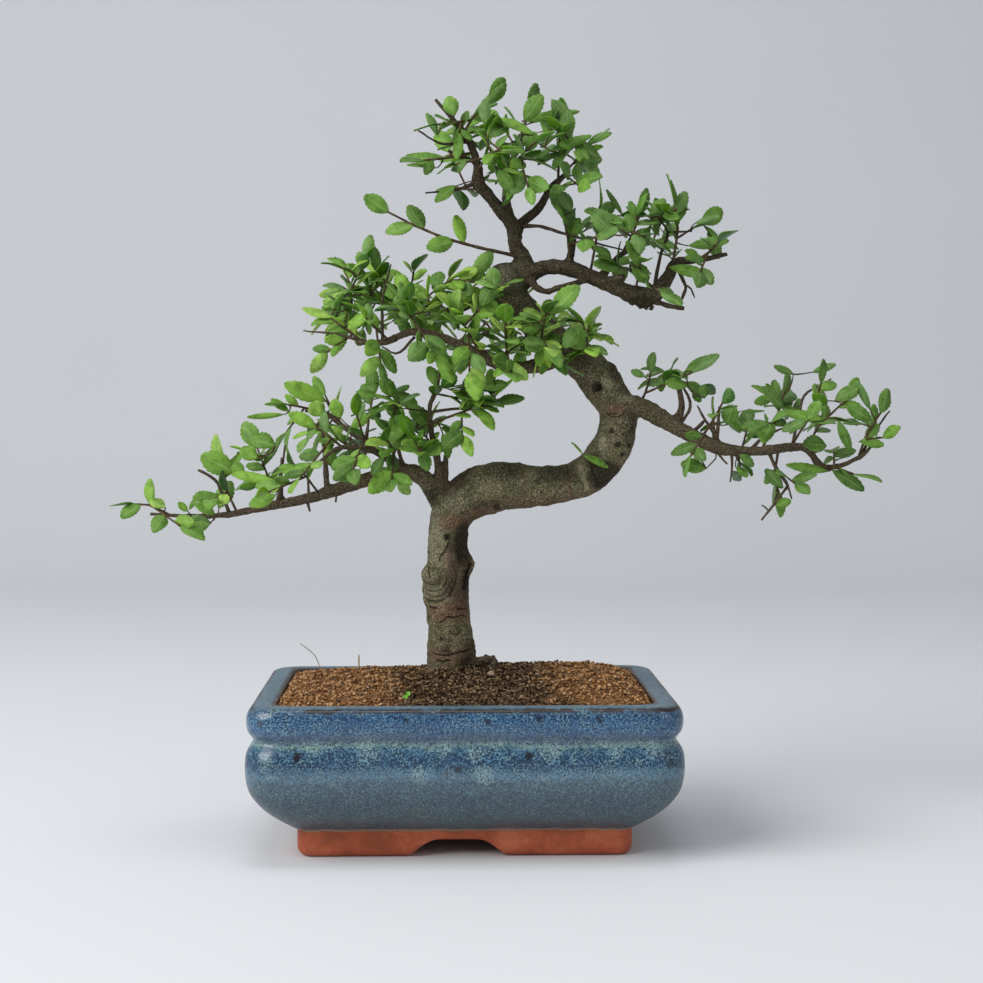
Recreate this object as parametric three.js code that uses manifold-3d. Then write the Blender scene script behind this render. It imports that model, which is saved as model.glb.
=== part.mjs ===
// A potted Chinese elm bonsai: a glazed pot, its soil, the trunk with its boughs, and the leafy sprays.
// Millimetres, +Z up, the viewer towards -Y. The foot stands on z = 0.
// Points are given from the pot's centre.

import * as THREE from 'three';
import { mergeVertices } from 'three/addons/utils/BufferGeometryUtils.js';
import Module from 'manifold-3d';

const wasm = await Module();
wasm.setup();

// Driving dimensions
const potCentre = [-19.5, 0, 0];
const seatGap = 0.3;
const bandHalfWidth = 102.7;
const bandHalfDepth = 76;
const lipHeight = 74.8;
const floorHeight = 18;
const footRecess = 9.6;
const archHeight = 8.8;
const archShift = -3.6;
const drainRadius = 6.5;
const drainOffset = 38;
const soilRise = 7.5;
const soilTilt = 0.035;
const trunkHeap = 2.8;
const leafLength = 14.6;
const leafWidth = 7.2;
const leafThickness = 0.7;
const leafFold = 0.24;
const up = new THREE.Vector3(0, 0, 1);
// Leaves turn their faces to the light, from above and in front
const light = new THREE.Vector3(0, -0.35, 0.5);

// Turns a closed geometry into a solid that can be joined and cut
function solidOf(geometry) {
  geometry.deleteAttribute('normal');
  geometry.deleteAttribute('uv');
  const merged = mergeVertices(geometry, 1e-4);
  return new wasm.Manifold(new wasm.Mesh({
    numProp: 3,
    vertProperties: new Float32Array(merged.attributes.position.array),
    triVerts: new Uint32Array(merged.index.array),
  }));
}

// A named mesh of a solid's largest body, placed at the pot's centre
function meshOf(name, solid, material) {
  const bodies = solid.decompose();
  bodies.sort((a, b) => b.volume() - a.volume());
  const data = bodies[0].getMesh();
  const geometry = new THREE.BufferGeometry();
  geometry.setAttribute('position', new THREE.Float32BufferAttribute(data.vertProperties, 3));
  geometry.setIndex(new THREE.Uint32BufferAttribute(data.triVerts, 1));
  geometry.computeVertexNormals();
  const mesh = new THREE.Mesh(geometry, material);
  mesh.name = name;
  mesh.position.set(...potCentre);
  return mesh;
}

function finish(colour, roughness) {
  return new THREE.MeshStandardMaterial({ color: colour, roughness, metalness: 0 });
}

// A closed solid of stacked rows. place(row, column) gives a row's points,
// and the row's middle where it is given no column.
// The last row of a pointed one is a single point
function stackedRows(rowCount, columns, pointed, place) {
  const geometry = new THREE.CylinderGeometry(pointed ? 0 : 1, 1, 1, columns, rowCount - 1);
  const position = geometry.attributes.position;
  for (let i = 0; i < position.count; i += 1) {
    const row = Math.round((position.getY(i) + 0.5) * (rowCount - 1));
    const onAxis = Math.hypot(position.getX(i), position.getZ(i)) < 1e-6;
    const turn = Math.atan2(position.getX(i), position.getZ(i)) / (2 * Math.PI);
    const column = (Math.round(turn * columns) + columns) % columns;
    const point = onAxis ? place(row, null) : place(row, column);
    position.setXYZ(i, point.x, point.y, point.z);
  }
  return solidOf(geometry);
}

// A point of a rectangle with round corners, counted anticlockwise
const cornerPoints = 4;
function roundedRectangle(halfWidth, halfDepth, radius, height, column) {
  const corner = Math.floor(column / cornerPoints);
  const turn = (corner + (column % cornerPoints) / (cornerPoints - 1)) * Math.PI / 2;
  const sideX = corner === 0 || corner === 3 ? 1 : -1;
  const sideY = corner < 2 ? 1 : -1;
  return new THREE.Vector3(
    sideX * (halfWidth - radius) + radius * Math.cos(turn),
    sideY * (halfDepth - radius) + radius * Math.sin(turn),
    height,
  );
}

// A solid lofted through rounded rectangles, given as [inset from the rim band, height, corner radius]
function potLoft(rows) {
  return stackedRows(rows.length, 4 * cornerPoints, false, (row, column) => {
    const [inset, height, radius] = rows[row];
    if (column === null) return new THREE.Vector3(0, 0, height);
    return roundedRectangle(bandHalfWidth - inset, bandHalfDepth - inset, radius, height, column);
  });
}

const outerRows = [
  [26.2, 0, 4], [22.9, 1.3, 6.5], [22, 4, 7.5], [22, 12.4, 7.5], [21.4, 13.2, 8], [16.4, 16.6, 10],
  [9.8, 21.6, 13], [4.4, 27.3, 14.5], [0.5, 33.8, 15], [-1.4, 42, 15], [-1.4, 50, 15],
  [1.2, 58.8, 13.5],
  [0.2, 62.4, 13.5], [0, 71.5, 13.5], [0.8, 73.8, 12.8], [2.6, lipHeight, 11.5],
];

function cavityRows(gap) {
  return [
    [34 + gap, floorHeight + gap, 9], [27 + gap, 20 + gap, 11], [18 + gap, 28, 12], [12.6 + gap, 42, 10.5],
    [12.6 + gap, 73.4, 10], [11.2 + gap, lipHeight + 0.4, 11.2],
  ];
}

// Half widths of the foot's arches at the table and at their flat tops
const frontArchHalves = [23.3, 8.7];
const sideArchHalves = [16, 6];

// A foot arch seen from in front: steep ogee sides and a flat top
function archShape(halfBottom, halfTop) {
  const shape = new THREE.Shape();
  const steep = halfBottom - 3.8;
  const shoulder = (halfBottom + halfTop) / 2 + 1;
  shape.moveTo(-halfBottom, -1);
  shape.lineTo(halfBottom, -1);
  shape.lineTo(halfBottom, 0);
  shape.bezierCurveTo(steep, 2.4, shoulder, archHeight, halfTop, archHeight);
  shape.lineTo(-halfTop, archHeight);
  shape.bezierCurveTo(-shoulder, archHeight, -steep, 2.4, -halfBottom, 0);
  return shape;
}

// A cutter along Y through both sides of the foot, or along X once turned
function archCutter(halfBottom, halfTop, halfLength) {
  const settings = { depth: 2 * halfLength, bevelEnabled: false, curveSegments: 4 };
  const geometry = new THREE.ExtrudeGeometry(archShape(halfBottom, halfTop), settings);
  geometry.translate(0, 0, -halfLength);
  geometry.rotateX(Math.PI / 2);
  return geometry;
}

function upright(radius, low, high, sides) {
  const geometry = new THREE.CylinderGeometry(radius, radius, high - low, sides);
  geometry.rotateX(Math.PI / 2);
  geometry.translate(0, 0, (low + high) / 2);
  return geometry;
}

function pot() {
  const frontArch = archCutter(...frontArchHalves, bandHalfDepth + 14).translate(archShift, 0, 0);
  const sideArch = archCutter(...sideArchHalves, bandHalfWidth + 17.3).rotateZ(Math.PI / 2);
  let solid = potLoft(outerRows)
    .subtract(potLoft(cavityRows(0)))
    .subtract(potLoft([[32.7, -1, 4], [33.6, footRecess, 4]]))
    .subtract(solidOf(frontArch))
    .subtract(solidOf(sideArch));
  for (const side of [-1, 1]) {
    const drain = upright(drainRadius, footRecess - 2, floorHeight + 2, 16);
    solid = solid.subtract(solidOf(drain.translate(side * drainOffset, 0, 0)));
  }
  return solid;
}

// Mesh screens that lie on the floor over the drain holes
const screenHalf = 10;
const screenThickness = 1;
const screenPitch = 4.4;
const screenHole = 6;
function drainScreen(side) {
  const centreHeight = floorHeight + seatGap + screenThickness / 2;
  const plate = new THREE.BoxGeometry(2 * screenHalf, 2 * screenHalf, screenThickness);
  let solid = solidOf(plate.translate(side * drainOffset, 0, centreHeight));
  for (const x of [-screenPitch, screenPitch]) {
    for (const y of [-screenPitch, screenPitch]) {
      const hole = new THREE.BoxGeometry(screenHole, screenHole, 2 * screenThickness);
      solid = solid.subtract(solidOf(hole.translate(side * drainOffset + x, y, centreHeight)));
    }
  }
  return solid;
}

// The soil's surface: level with the lip at the edges, higher to the right and round the trunk, with lumps
function soilHeight(x, y) {
  const edgeX = Math.max(0, 1 - Math.abs(x / 90) ** 8);
  const edgeY = Math.max(0, 1 - Math.abs(y / 64) ** 3);
  const middle = edgeX * edgeY ** 0.8;
  const broad = 0.9 * Math.sin(0.19 * x + 1.3) * Math.sin(0.24 * y + 0.4);
  const lumps = broad + 0.5 * Math.sin(0.51 * x - 0.4 * y);
  const heap = trunkHeap * Math.exp(-(((x - 2) / 30) ** 2) - ((y - 2) / 24) ** 2);
  return lipHeight - 1.6 + middle * (soilRise + soilTilt * x + heap) + lumps * (0.3 + 0.7 * middle);
}

const soilCells = [11, 8];
function soil(wood) {
  const [columns, rows] = soilCells;
  const geometry = new THREE.BoxGeometry(200, 150, 20, columns, rows, 1);
  const position = geometry.attributes.position;
  for (let i = 0; i < position.count; i += 1) {
    const x = position.getX(i);
    const y = position.getY(i);
    position.setZ(i, position.getZ(i) > 0 ? soilHeight(x, y) : 0);
  }
  let solid = solidOf(geometry).intersect(potLoft(cavityRows(seatGap))).subtract(wood);
  for (const side of [-1, 1]) {
    const half = screenHalf + seatGap;
    const top = floorHeight + 2 * seatGap + screenThickness;
    const pocket = new THREE.BoxGeometry(2 * half, 2 * half, top).translate(side * drainOffset, 0, top / 2);
    solid = solid.subtract(solidOf(pocket));
  }
  const [x, y, low] = seedlingFoot;
  const stemHole = upright(0.5 + seatGap, low - seatGap, lipHeight + 2 * soilRise, 6).translate(x, y, 0);
  return solid.subtract(solidOf(stemHole));
}

// Centrelines of the wood, as [x, y, z, radius] from the root to the tip
const boughs = {
  trunk: [
    [-6, 8, 47.5, 8], [-6, 8, 63.5, 12.5], [-6, 8, 82.5, 12.8], [-6, 6, 97.5, 11.6],
    [-8, 5, 109.5, 11.2], [-9, 4, 122.5, 11.6], [-8, 3, 135.5, 10.6], [-8, 2, 148.5, 10],
    [-6, 0, 160.5, 10.6], [3, -2, 170.5, 12.4], [17, -4, 175.5, 12.6], [32, -5, 175.5, 11],
    [47, -5, 176.5, 9.8], [61, -4, 180.5, 10], [71, -3, 190.5, 10.2], [77, -2, 202.5, 9.8],
    [77, -1, 214.5, 9.2], [70, 0, 226.5, 10.2], [59, 2, 238.5, 9.2], [46, 4, 248.5, 8.2],
    [34, 5, 259.5, 7.8], [24, 4, 270.5, 8.6], [21, 2, 280.5, 7.2],
  ],
  lowerLeft: [
    [-9, -2, 166.5, 7], [-15, -3, 174.5, 5.5], [-25, -5, 182.5, 4.2], [-40, -7, 181.5, 3.9],
    [-57, -9, 176.5, 3.4], [-76, -12, 170.5, 2.8], [-96, -14, 166.5, 2.2], [-115, -15, 162.5, 1.6],
    [-133, -15, 161.5, 1.1], [-155, -14, 162.5, 0.7],
  ],
  lowerLeftUpper: [
    [-28, -5, 183.5, 3], [-37, 2, 189.5, 2.2], [-48, 10, 196.5, 1.8], [-60, 17, 204.5, 1.5],
    [-71, 20, 212.5, 1.2], [-81, 21, 213.5, 0.8],
  ],
  lowerLeftFront: [
    [-30, -5, 183.5, 2.8], [-38, -14, 189.5, 1.9], [-47, -22, 194.5, 1.6], [-61, -28, 195.5, 1.2],
    [-71, -31, 188.5, 0.8],
  ],
  elbowTwig: [
    [-12, -4, 173.5, 3], [-13, -8, 187.5, 1.9], [-16, -14, 201.5, 1.5], [-17, -18, 213.5, 1.2],
    [-15, -20, 222.5, 0.9],
  ],
  middleFront: [
    [49, 0, 243.5, 6], [38, -12, 236.5, 4], [21, -24, 234.5, 3.2], [6, -32, 241.5, 2.8],
    [-10, -36, 248.5, 2.4], [-25, -37, 251.5, 2.1], [-39, -37, 246.5, 1.7], [-52, -36, 246.5, 1.2],
  ],
  middleBack: [
    [29, 6, 267.5, 5.5], [15, 14, 275.5, 3.2], [2, 20, 267.5, 2.6], [-12, 26, 263.5, 2.3],
    [-26, 31, 266.5, 2], [-40, 33, 269.5, 1.7], [-52, 33, 272.5, 1.3], [-63, 33, 283.5, 0.8],
  ],
  centreBack: [
    [45, 4, 248.5, 5], [42, 16, 254.5, 2.8], [29, 27, 259.5, 2.1], [15, 36, 255.5, 1.6],
    [1, 40, 247.5, 1],
  ],
  leader: [
    [25, 2, 278.5, 6.5], [30, 1, 288.5, 5], [26, 0, 296.5, 3.6], [25, 0, 305.5, 3.9],
    [19, -4, 312.5, 3.2], [12, -7, 320.5, 3], [7, -9, 326.5, 3.2], [7, -10, 334.5, 2.2],
    [3, -11, 345.5, 1.8], [-4, -12, 355.5, 1.3], [-14, -12, 366.5, 0.7],
  ],
  leaderRight: [
    [26, 0, 301.5, 3.4], [29, 3, 307.5, 2.6], [38, 8, 315.5, 2.3], [42, 10, 322.5, 2],
    [46, 12, 328.5, 1.5], [54, 14, 335.5, 1],
  ],
  leaderMiddle: [
    [24, 1, 306.5, 3], [22, 10, 316.5, 2.6], [22, 18, 325.5, 2.2], [24, 24, 335.5, 1.7],
    [23, 27, 343.5, 1.2], [22, 29, 351.5, 0.8],
  ],
  upperRight: [
    [26, 2, 276.5, 6.5], [34, 0, 282.5, 4.6], [44, -2, 285.5, 3.6], [56, -4, 283.5, 4],
    [70, -6, 277.5, 3.6], [85, -7, 271.5, 4.4], [95, -8, 271.5, 4.2], [102, -8, 280.5, 3.2],
    [106, -8, 287.5, 2.4], [118, -9, 288.5, 1.5], [131, -10, 291.5, 0.9],
  ],
  upperRightBack: [[68, -6, 278.5, 3.2], [73, 6, 285.5, 1.8], [81, 17, 293.5, 1.4], [91, 27, 298.5, 1]],
  right: [
    [75, -1, 217.5, 6.5], [88, -4, 215.5, 5], [101, -7, 208.5, 4.2], [115, -10, 200.5, 3.8],
    [129, -13, 194.5, 3.1], [146, -15, 193.5, 2.6], [162, -16, 195.5, 2.4], [170, -17, 194.5, 2.1],
    [179, -18, 185.5, 1.6], [194, -20, 189.5, 1.2], [202, -21, 196.5, 0.8],
  ],
  rightUpper: [
    [105, -8, 206.5, 3], [109, -6, 214.5, 1.8], [108, -5, 224.5, 1.4], [106, -4, 231.5, 0.8],
  ],
};

// Bare stubs, spikes and the bark flap, which are part of the wood
const stubs = [
  [[52, -3, 284.5, 2.2], [55, -4, 299.5, 1.5]],
  [[72, -6, 278.5, 2], [80, -8, 280.5, 1.4]],
  [
    [33, -1, 280.5, 2.6], [36, -7, 274.9, 1.7], [41.5, -9, 272.6, 1.5], [48, -9, 274.8, 1.4],
    [63, -7, 279, 1.6],
  ],
  [[80, -7, 271, 2.8], [85, -8, 266.8, 1.4]],
  [[86, -7, 270, 3.4], [91, -8, 266.5, 2.6], [94.5, -8, 264.5, 1.2]],
  [[91, -8, 269.5, 2], [100, -9, 266.3, 1.3], [110, -9, 264.3, 1]],
  [[105.5, -9, 265.3, 1], [109.3, -9, 271.1, 0.9], [110.2, -9, 276.1, 0.9], [105.5, -8.5, 286, 1]],
  [[-1, -3, 150, 1.6], [0, -3, 141, 3.4], [1.6, -3, 135.5, 3.9], [0.4, -3, 125, 3], [-1, -3, 118, 1.2]],
  [[-10, -4, 173.5, 2.6], [-9, -6, 191.5, 1.2]],
  [[-68, -10, 173.5, 1.6], [-70, -12, 205.5, 0.8]],
  [[-92, -14, 167.5, 1.2], [-90, -15, 190.5, 0.7]],
  [[-116, -15, 162.5, 1], [-122, -16, 178.5, 0.9], [-131, -17, 184.5, 0.7]],
  [[126, -12, 195.5, 1.2], [127, -13, 215.5, 0.7]],
  [[113, -9, 201.5, 1.2], [120, -9, 208.5, 0.8]],
  [[8, -10, 335.5, 1.6], [-8, -12, 341.5, 0.8]],
];

// Swellings of the trunk, as [x, y, z, radius]
const burls = [
  [-14.6, -2, 131.5, 6.6], [20, 0, 278.5, 9.4], [72, -5, 233.5, 5.2], [80, -3, 218.5, 5],
  [74, -6, 217, 5.6], [7, -5, 177.5, 7.6],
];
const roots = [
  [[2, 2, 85.5, 4], [7, 0, 87, 2.4], [10.5, -1, 87.9, 1.7], [14.5, -1, 87.6, 1.6], [16.5, -1, 78, 1.2]],
  [[-10, 2, 85, 5], [-18, -5, 77.5, 3], [-24, -10, 72.5, 1.6]],
];

function curveOf(points) {
  const corners = points.map(([x, y, z]) => new THREE.Vector3(x, y, z));
  return new THREE.CatmullRomCurve3(corners, false, 'catmullrom', 0.5);
}

function thicknessOf(points) {
  const radii = points.map((point) => new THREE.Vector3(point[3], 0, 0));
  return new THREE.CatmullRomCurve3(radii, false, 'catmullrom', 0.5);
}

// A round stem along the points, its radius following theirs, swollen by lumps of the given height
function stem(points, sides, rowCount, extra, lumps, pointed = true) {
  const curve = curveOf(points);
  const thickness = thicknessOf(points);
  const rows = [];
  let across = null;
  for (let i = 0; i < rowCount; i += 1) {
    const t = i / (rowCount - 1);
    const along = curve.getTangent(t);
    across = across || new THREE.Vector3(0, 1, 0).cross(along).normalize();
    across = across.clone().addScaledVector(along, -across.dot(along)).normalize();
    const over = new THREE.Vector3().crossVectors(along, across);
    rows.push({ middle: curve.getPoint(t), across, over, radius: thickness.getPoint(t).x });
  }
  return stackedRows(rowCount, sides, pointed, (row, column) => {
    const { middle, across: first, over: second, radius } = rows[row];
    if (column === null) return middle.clone();
    const turn = 2 * Math.PI * column / sides;
    const swell = 1 + lumps * Math.sin(1.9 * row + 2 * turn) * Math.cos(0.7 * row - turn);
    const reach = radius * swell + extra;
    return middle.clone()
      .addScaledVector(first, reach * Math.cos(turn))
      .addScaledVector(second, reach * Math.sin(turn));
  });
}

// The whole tree's wood, thicker by the extra where it stands for the room around it
const trunkSides = 10;
const trunkRows = 32;
function wood(extra) {
  const parts = [stem(boughs.trunk, trunkSides, trunkRows, extra, 0.05)];
  for (const [name, points] of Object.entries(boughs)) {
    if (name !== 'trunk') parts.push(stem(points, points[0][3] > 6 ? 6 : 5, points.length + 1, extra, 0));
  }
  for (const points of stubs) parts.push(stem(points, 4, points.length, extra, 0));
  for (const points of roots) parts.push(stem(points, 5, points.length, extra, 0));
  for (const [x, y, z, radius] of burls) {
    const knob = new THREE.IcosahedronGeometry(radius + extra, 1);
    parts.push(solidOf(knob.translate(x, y, z)));
  }
  return wasm.Manifold.union(parts);
}

// Leafy sprays: the bough each grows from, how far along it, and where its shoots end
const sprays = [
  ['spray_apex_1', 'leader', 0.85, [[13, -9, 365.5], [-13, -18, 353.5]]],
  ['spray_apex_2', 'leader', 0.76, [[-20, -22, 335.5], [3, 6, 358.5]]],
  ['spray_apex_3', 'leader', 0.67, [[18, -34, 339.5], [-5, -36, 331.5]]],
  ['spray_apex_4', 'leader', 0.54, [[-6, 22, 326.5], [-7, 20, 345.5]]],
  ['spray_apex_5', 'leaderMiddle', 0.69, [[34, 12, 364.5], [19, 36, 363.5]]],
  ['spray_apex_6', 'leaderMiddle', 0.41, [[35, -24, 344.5], [14, 44, 354.5], [31, -28, 321.5]]],
  ['spray_apex_7', 'leaderRight', 0.65, [[63, -6, 345.5], [56, -22, 323.5]]],
  ['spray_apex_8', 'leaderRight', 0.86, [[49, 2, 359.5], [62, 32, 340.5]]],
  ['spray_upper_right_1', 'upperRight', 0.28, [[49, -12, 310.5], [65, -34, 297.5]]],
  ['spray_upper_right_2', 'upperRight', 0.35, [[67, -14, 314.5], [56, 22, 310.5]]],
  ['spray_upper_right_3', 'upperRight', 0.5, [[85, -36, 285.5], [95, -34, 270.5]]],
  ['spray_upper_right_4', 'upperRightBack', 0.67, [[90, 12, 313.5], [78, 40, 310.5]]],
  ['spray_upper_right_5', 'upperRightBack', 0.96, [[107, 38, 304.5], [100, 8, 308.5]]],
  ['spray_upper_right_6', 'upperRight', 0.75, [[104, -14, 314.5], [119, -4, 307.5]]],
  ['spray_upper_right_7', 'upperRight', 0.89, [[125, -22, 296.5], [114, -34, 280.5]]],
  ['spray_middle_left_1', 'middleFront', 0.97, [[-65, -30, 258.5], [-66, -40, 241.5]]],
  ['spray_middle_left_2', 'middleFront', 0.83, [[-47, -54, 257.5], [-40, -52, 236.5]]],
  ['spray_middle_left_3', 'middleFront', 0.68, [[-27, -50, 265.5], [-14, -56, 239.5], [-17, -24, 262.5]]],
  ['spray_middle_left_4', 'middleBack', 0.89, [[-64, 14, 271.5], [-71, 40, 261.5]]],
  ['spray_middle_left_5', 'middleBack', 0.71, [[-43, 24, 284.5], [-53, 54, 256.5]]],
  ['spray_middle_left_6', 'middleBack', 0.58, [[-25, 12, 284.5], [-31, 62, 263.5]]],
  ['spray_middle_left_7', 'middleBack', 0.43, [[-7, 14, 281.5], [-12, 52, 256.5]]],
  ['spray_centre_1', 'middleFront', 0.41, [[-6, -56, 262.5], [2, -58, 231.5], [8, -40, 263.5]]],
  ['spray_centre_2', 'middleFront', 0.28, [[19, -52, 255.5], [22, -60, 231.5]]],
  ['spray_centre_3', 'middleFront', 0.16, [[39, -44, 260.5], [39, -56, 243.5]]],
  ['spray_centre_4', 'trunk', 0.82, [[61, -26, 255.5], [59, -42, 243.5]]],
  ['spray_centre_5', 'centreBack', 0.49, [[28, 40, 275.5], [19, 60, 266.5]]],
  ['spray_centre_6', 'centreBack', 0.75, [[6, 56, 262.5], [-4, 52, 239.5]]],
  ['spray_centre_7', 'trunk', 0.86, [[63, 34, 257.5], [47, 48, 262.5]]],
  ['spray_lower_middle_1', 'elbowTwig', 0.82, [[-12, -26, 232.5], [3, -14, 218.5]]],
  ['spray_lower_middle_2', 'elbowTwig', 0.61, [[16, -24, 216.5], [-1, -30, 201.5]]],
  ['spray_lower_middle_3', 'elbowTwig', 0.31, [[-30, 10, 210.5], [-22, -38, 193.5]]],
  ['spray_lower_left_1', 'lowerLeft', 0.95, [[-163, -14, 167.5], [-138, -30, 157.5]]],
  ['spray_lower_left_2', 'lowerLeft', 0.76, [[-120, -14, 186.5], [-120, -40, 171.5]]],
  ['spray_lower_left_3', 'lowerLeft', 0.62, [[-104, 2, 195.5], [-110, 24, 174.5]]],
  ['spray_lower_left_4', 'lowerLeft', 0.53, [[-83, -38, 188.5], [-94, -44, 174.5]]],
  ['spray_lower_left_5', 'lowerLeftUpper', 0.87, [[-89, 12, 216.5], [-92, 38, 202.5]]],
  ['spray_lower_left_6', 'lowerLeftUpper', 0.62, [[-71, 24, 221.5], [-76, 50, 198.5]]],
  ['spray_lower_left_7', 'lowerLeftUpper', 0.42, [[-46, 12, 220.5], [-53, 44, 191.5], [-36, 36, 204.5]]],
  ['spray_lower_left_8', 'lowerLeftFront', 0.72, [[-72, -30, 205.5], [-78, -58, 181.5]]],
  ['spray_lower_left_9', 'lowerLeftFront', 0.5, [[-52, -38, 211.5], [-53, -56, 185.5]]],
  ['spray_lower_left_10', 'lowerLeft', 0.29, [[-37, -44, 199.5], [-35, -48, 180.5]]],
  ['spray_right_1', 'right', 0.1, [[94, -2, 232.5], [113, -18, 232.5]]],
  ['spray_right_2', 'rightUpper', 0.61, [[103, 18, 233.5], [122, 24, 225.5]]],
  ['spray_right_3', 'right', 0.32, [[126, -30, 217.5], [110, -34, 191.5]]],
  ['spray_right_4', 'right', 0.43, [[140, 4, 181.5], [145, 8, 206.5]]],
  ['spray_right_5', 'right', 0.51, [[160, -8, 221.5], [146, -42, 207.5]]],
  ['spray_right_6', 'right', 0.6, [[176, -22, 227.5], [164, -46, 209.5]]],
  ['spray_right_7', 'right', 0.7, [[194, 2, 219.5], [182, 20, 206.5]]],
  ['spray_right_8', 'right', 0.8, [[191, -28, 182.5], [189, 8, 192.5]]],
  ['spray_right_9', 'right', 0.91, [[207, -16, 212.5], [204, -34, 200.5]]],
  ['spray_right_10', 'right', 0.56, [[157, -10, 172.5], [162, -32, 177.5]]],
  ['spray_inner_bend', 'trunk', 0.585, [[64, -18, 196.5]]],
];

// The long bare shoot on the left, whose few leaves face the viewer
const longShoot = [
  [28, -2, 290.5, 1.5], [7, -9, 294.5, 1.3], [-9, -12, 298.5, 1.2], [-24, -14, 304.5, 1],
  [-38, -15, 311.5, 0.8],
];
const longShootPlaces = [0.16, 0.36, 0.44, 0.68, 0.76, 1];

// Repeatable draws between 0 and 1
function draws(seed) {
  let state = (seed * 7919 + 17) % 2147483647;
  return () => {
    state = (state * 16807) % 2147483647;
    return state / 2147483647;
  };
}

// A point of the straight runs between a shoot's knees
function pointAlong(points, part) {
  const place = Math.min(part, 0.999) * (points.length - 1);
  const index = Math.floor(place);
  const [start, end] = [points[index], points[index + 1]].map(([x, y, z]) => new THREE.Vector3(x, y, z));
  return start.lerp(end, place - index);
}

// The runs of a spray's shoots: the first from the bough, the others from the first
function shootsOf([, bough, at, tips], seed) {
  const draw = draws(seed);
  const shoots = [];
  tips.forEach((tip, order) => {
    const onBough = curveOf(boughs[bough]).getPoint(at);
    const start = order === 0 ? onBough : pointAlong(shoots[0], 0.26 + 0.14 * order);
    const end = new THREE.Vector3(...tip);
    const points = [[...start.toArray(), order === 0 ? 1.1 : 0.9]];
    if (order === 0) {
      const bend = new THREE.Vector3(draw() - 0.5, draw() - 0.5, draw() - 0.3);
      const knee = start.clone().lerp(end, 0.5).addScaledVector(bend, 0.2 * start.distanceTo(end));
      points.push([...knee.toArray(), 1]);
    }
    points.push([...tip, 0.8]);
    shoots.push(points);
  });
  return shoots;
}

// Where leaves sit along a shoot, from its tip back. A short shoot carries only the first
const leafPlaces = [1, 0.66, 0.4];
const leafSpacing = 16.5;
function placesOn(length) {
  return leafPlaces.slice(0, Math.max(1, Math.round(length / leafSpacing)));
}

// A leaf's place: its root, the way it points, the way it faces and its size
function leafPlace(points, part, side, outward, draw) {
  const root = pointAlong(points, part === 1 ? 0.98 : part);
  const along = pointAlong(points, part).sub(pointAlong(points, part - 0.06)).normalize();
  const scatter = new THREE.Vector3(draw() - 0.5, draw() - 0.5, draw() - 0.5);
  const facing = light.clone().addScaledVector(outward, 0.35).addScaledVector(scatter, 0.9);
  const lean = part === 1 ? 0.3 * draw() : 0.7 + 0.45 * draw();
  const sideways = new THREE.Vector3().crossVectors(facing, along).normalize().multiplyScalar(side);
  const axis = along.clone().multiplyScalar(Math.cos(lean)).addScaledVector(sideways, Math.sin(lean));
  axis.addScaledVector(up, 0.3 * (draw() - 0.45)).normalize();
  const face = facing.clone().addScaledVector(axis, -facing.dot(axis)).normalize();
  return { root, axis, face, size: 0.82 + 0.34 * draw() };
}

// Points that stand for a leaf where its room is tested, as parts of its length and width
const samplePlaces = [[0.3, 0], [0.5, 0.35], [0.5, -0.35], [0.62, 0], [0.78, 0.25], [0.78, -0.25], [1, 0]];

function leafSamples({ root, axis, face, size }) {
  const across = new THREE.Vector3().crossVectors(face, axis);
  const samples = [];
  for (const [along, out] of samplePlaces) {
    const point = root.clone().addScaledVector(axis, along * leafLength * size);
    samples.push(point.addScaledVector(across, out * leafWidth * size));
  }
  return samples;
}

// The leaf's edges from its foot to its tip, as parts of its length and half its width,
// with a tooth on the left
const leftEdge = [[0.26, 0.8], [0.52, 1], [0.6, 0.8]];
const rightEdge = [[0.28, 0.86], [0.64, 0.92]];

function leafSolid({ root, axis, face, size }) {
  const across = new THREE.Vector3().crossVectors(face, axis);
  const edgePoint = (along, out) => root.clone()
    .addScaledVector(axis, along * leafLength * size)
    .addScaledVector(across, out * leafWidth * size / 2)
    .addScaledVector(face, leafFold * Math.abs(out) * leafWidth * size / 2);
  const outline = [edgePoint(0, 0)];
  for (const [along, out] of rightEdge) outline.push(edgePoint(along, -out));
  outline.push(edgePoint(1, 0));
  for (const [along, out] of [...leftEdge].reverse()) outline.push(edgePoint(along, out));
  const count = outline.length;
  const corners = [];
  for (const lift of [leafThickness / 2, -leafThickness / 2]) {
    for (const point of outline) corners.push(...point.clone().addScaledVector(face, lift).toArray());
  }
  const triangles = [];
  const tip = rightEdge.length + 1;
  for (let i = 1; i < count - 1; i += 1) {
    const first = (tip + i) % count;
    const second = (tip + i + 1) % count;
    triangles.push(tip, first, second, count + tip, count + second, count + first);
  }
  for (let i = 0; i < count; i += 1) {
    const next = (i + 1) % count;
    triangles.push(count + i, count + next, next, count + i, next, i);
  }
  const geometry = new THREE.BufferGeometry();
  geometry.setAttribute('position', new THREE.Float32BufferAttribute(corners, 3));
  geometry.setIndex(triangles);
  return solidOf(geometry);
}

// Room tests between points
function near(points, others, distance) {
  return points.some((point) => others.some((other) => {
    const room = distance + (other.radius ?? 0);
    return point.distanceTo(other.point ?? other) < room;
  }));
}

function samplesAlong(points, count) {
  const curve = curveOf(points);
  const thickness = thicknessOf(points);
  const samples = [];
  for (let i = 0; i <= count; i += 1) {
    samples.push({ point: curve.getPoint(i / count), radius: thickness.getPoint(i / count).x });
  }
  return samples;
}

const leafClearance = 2.6;
const stemClearance = 1.4;
const tries = 8;

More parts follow.
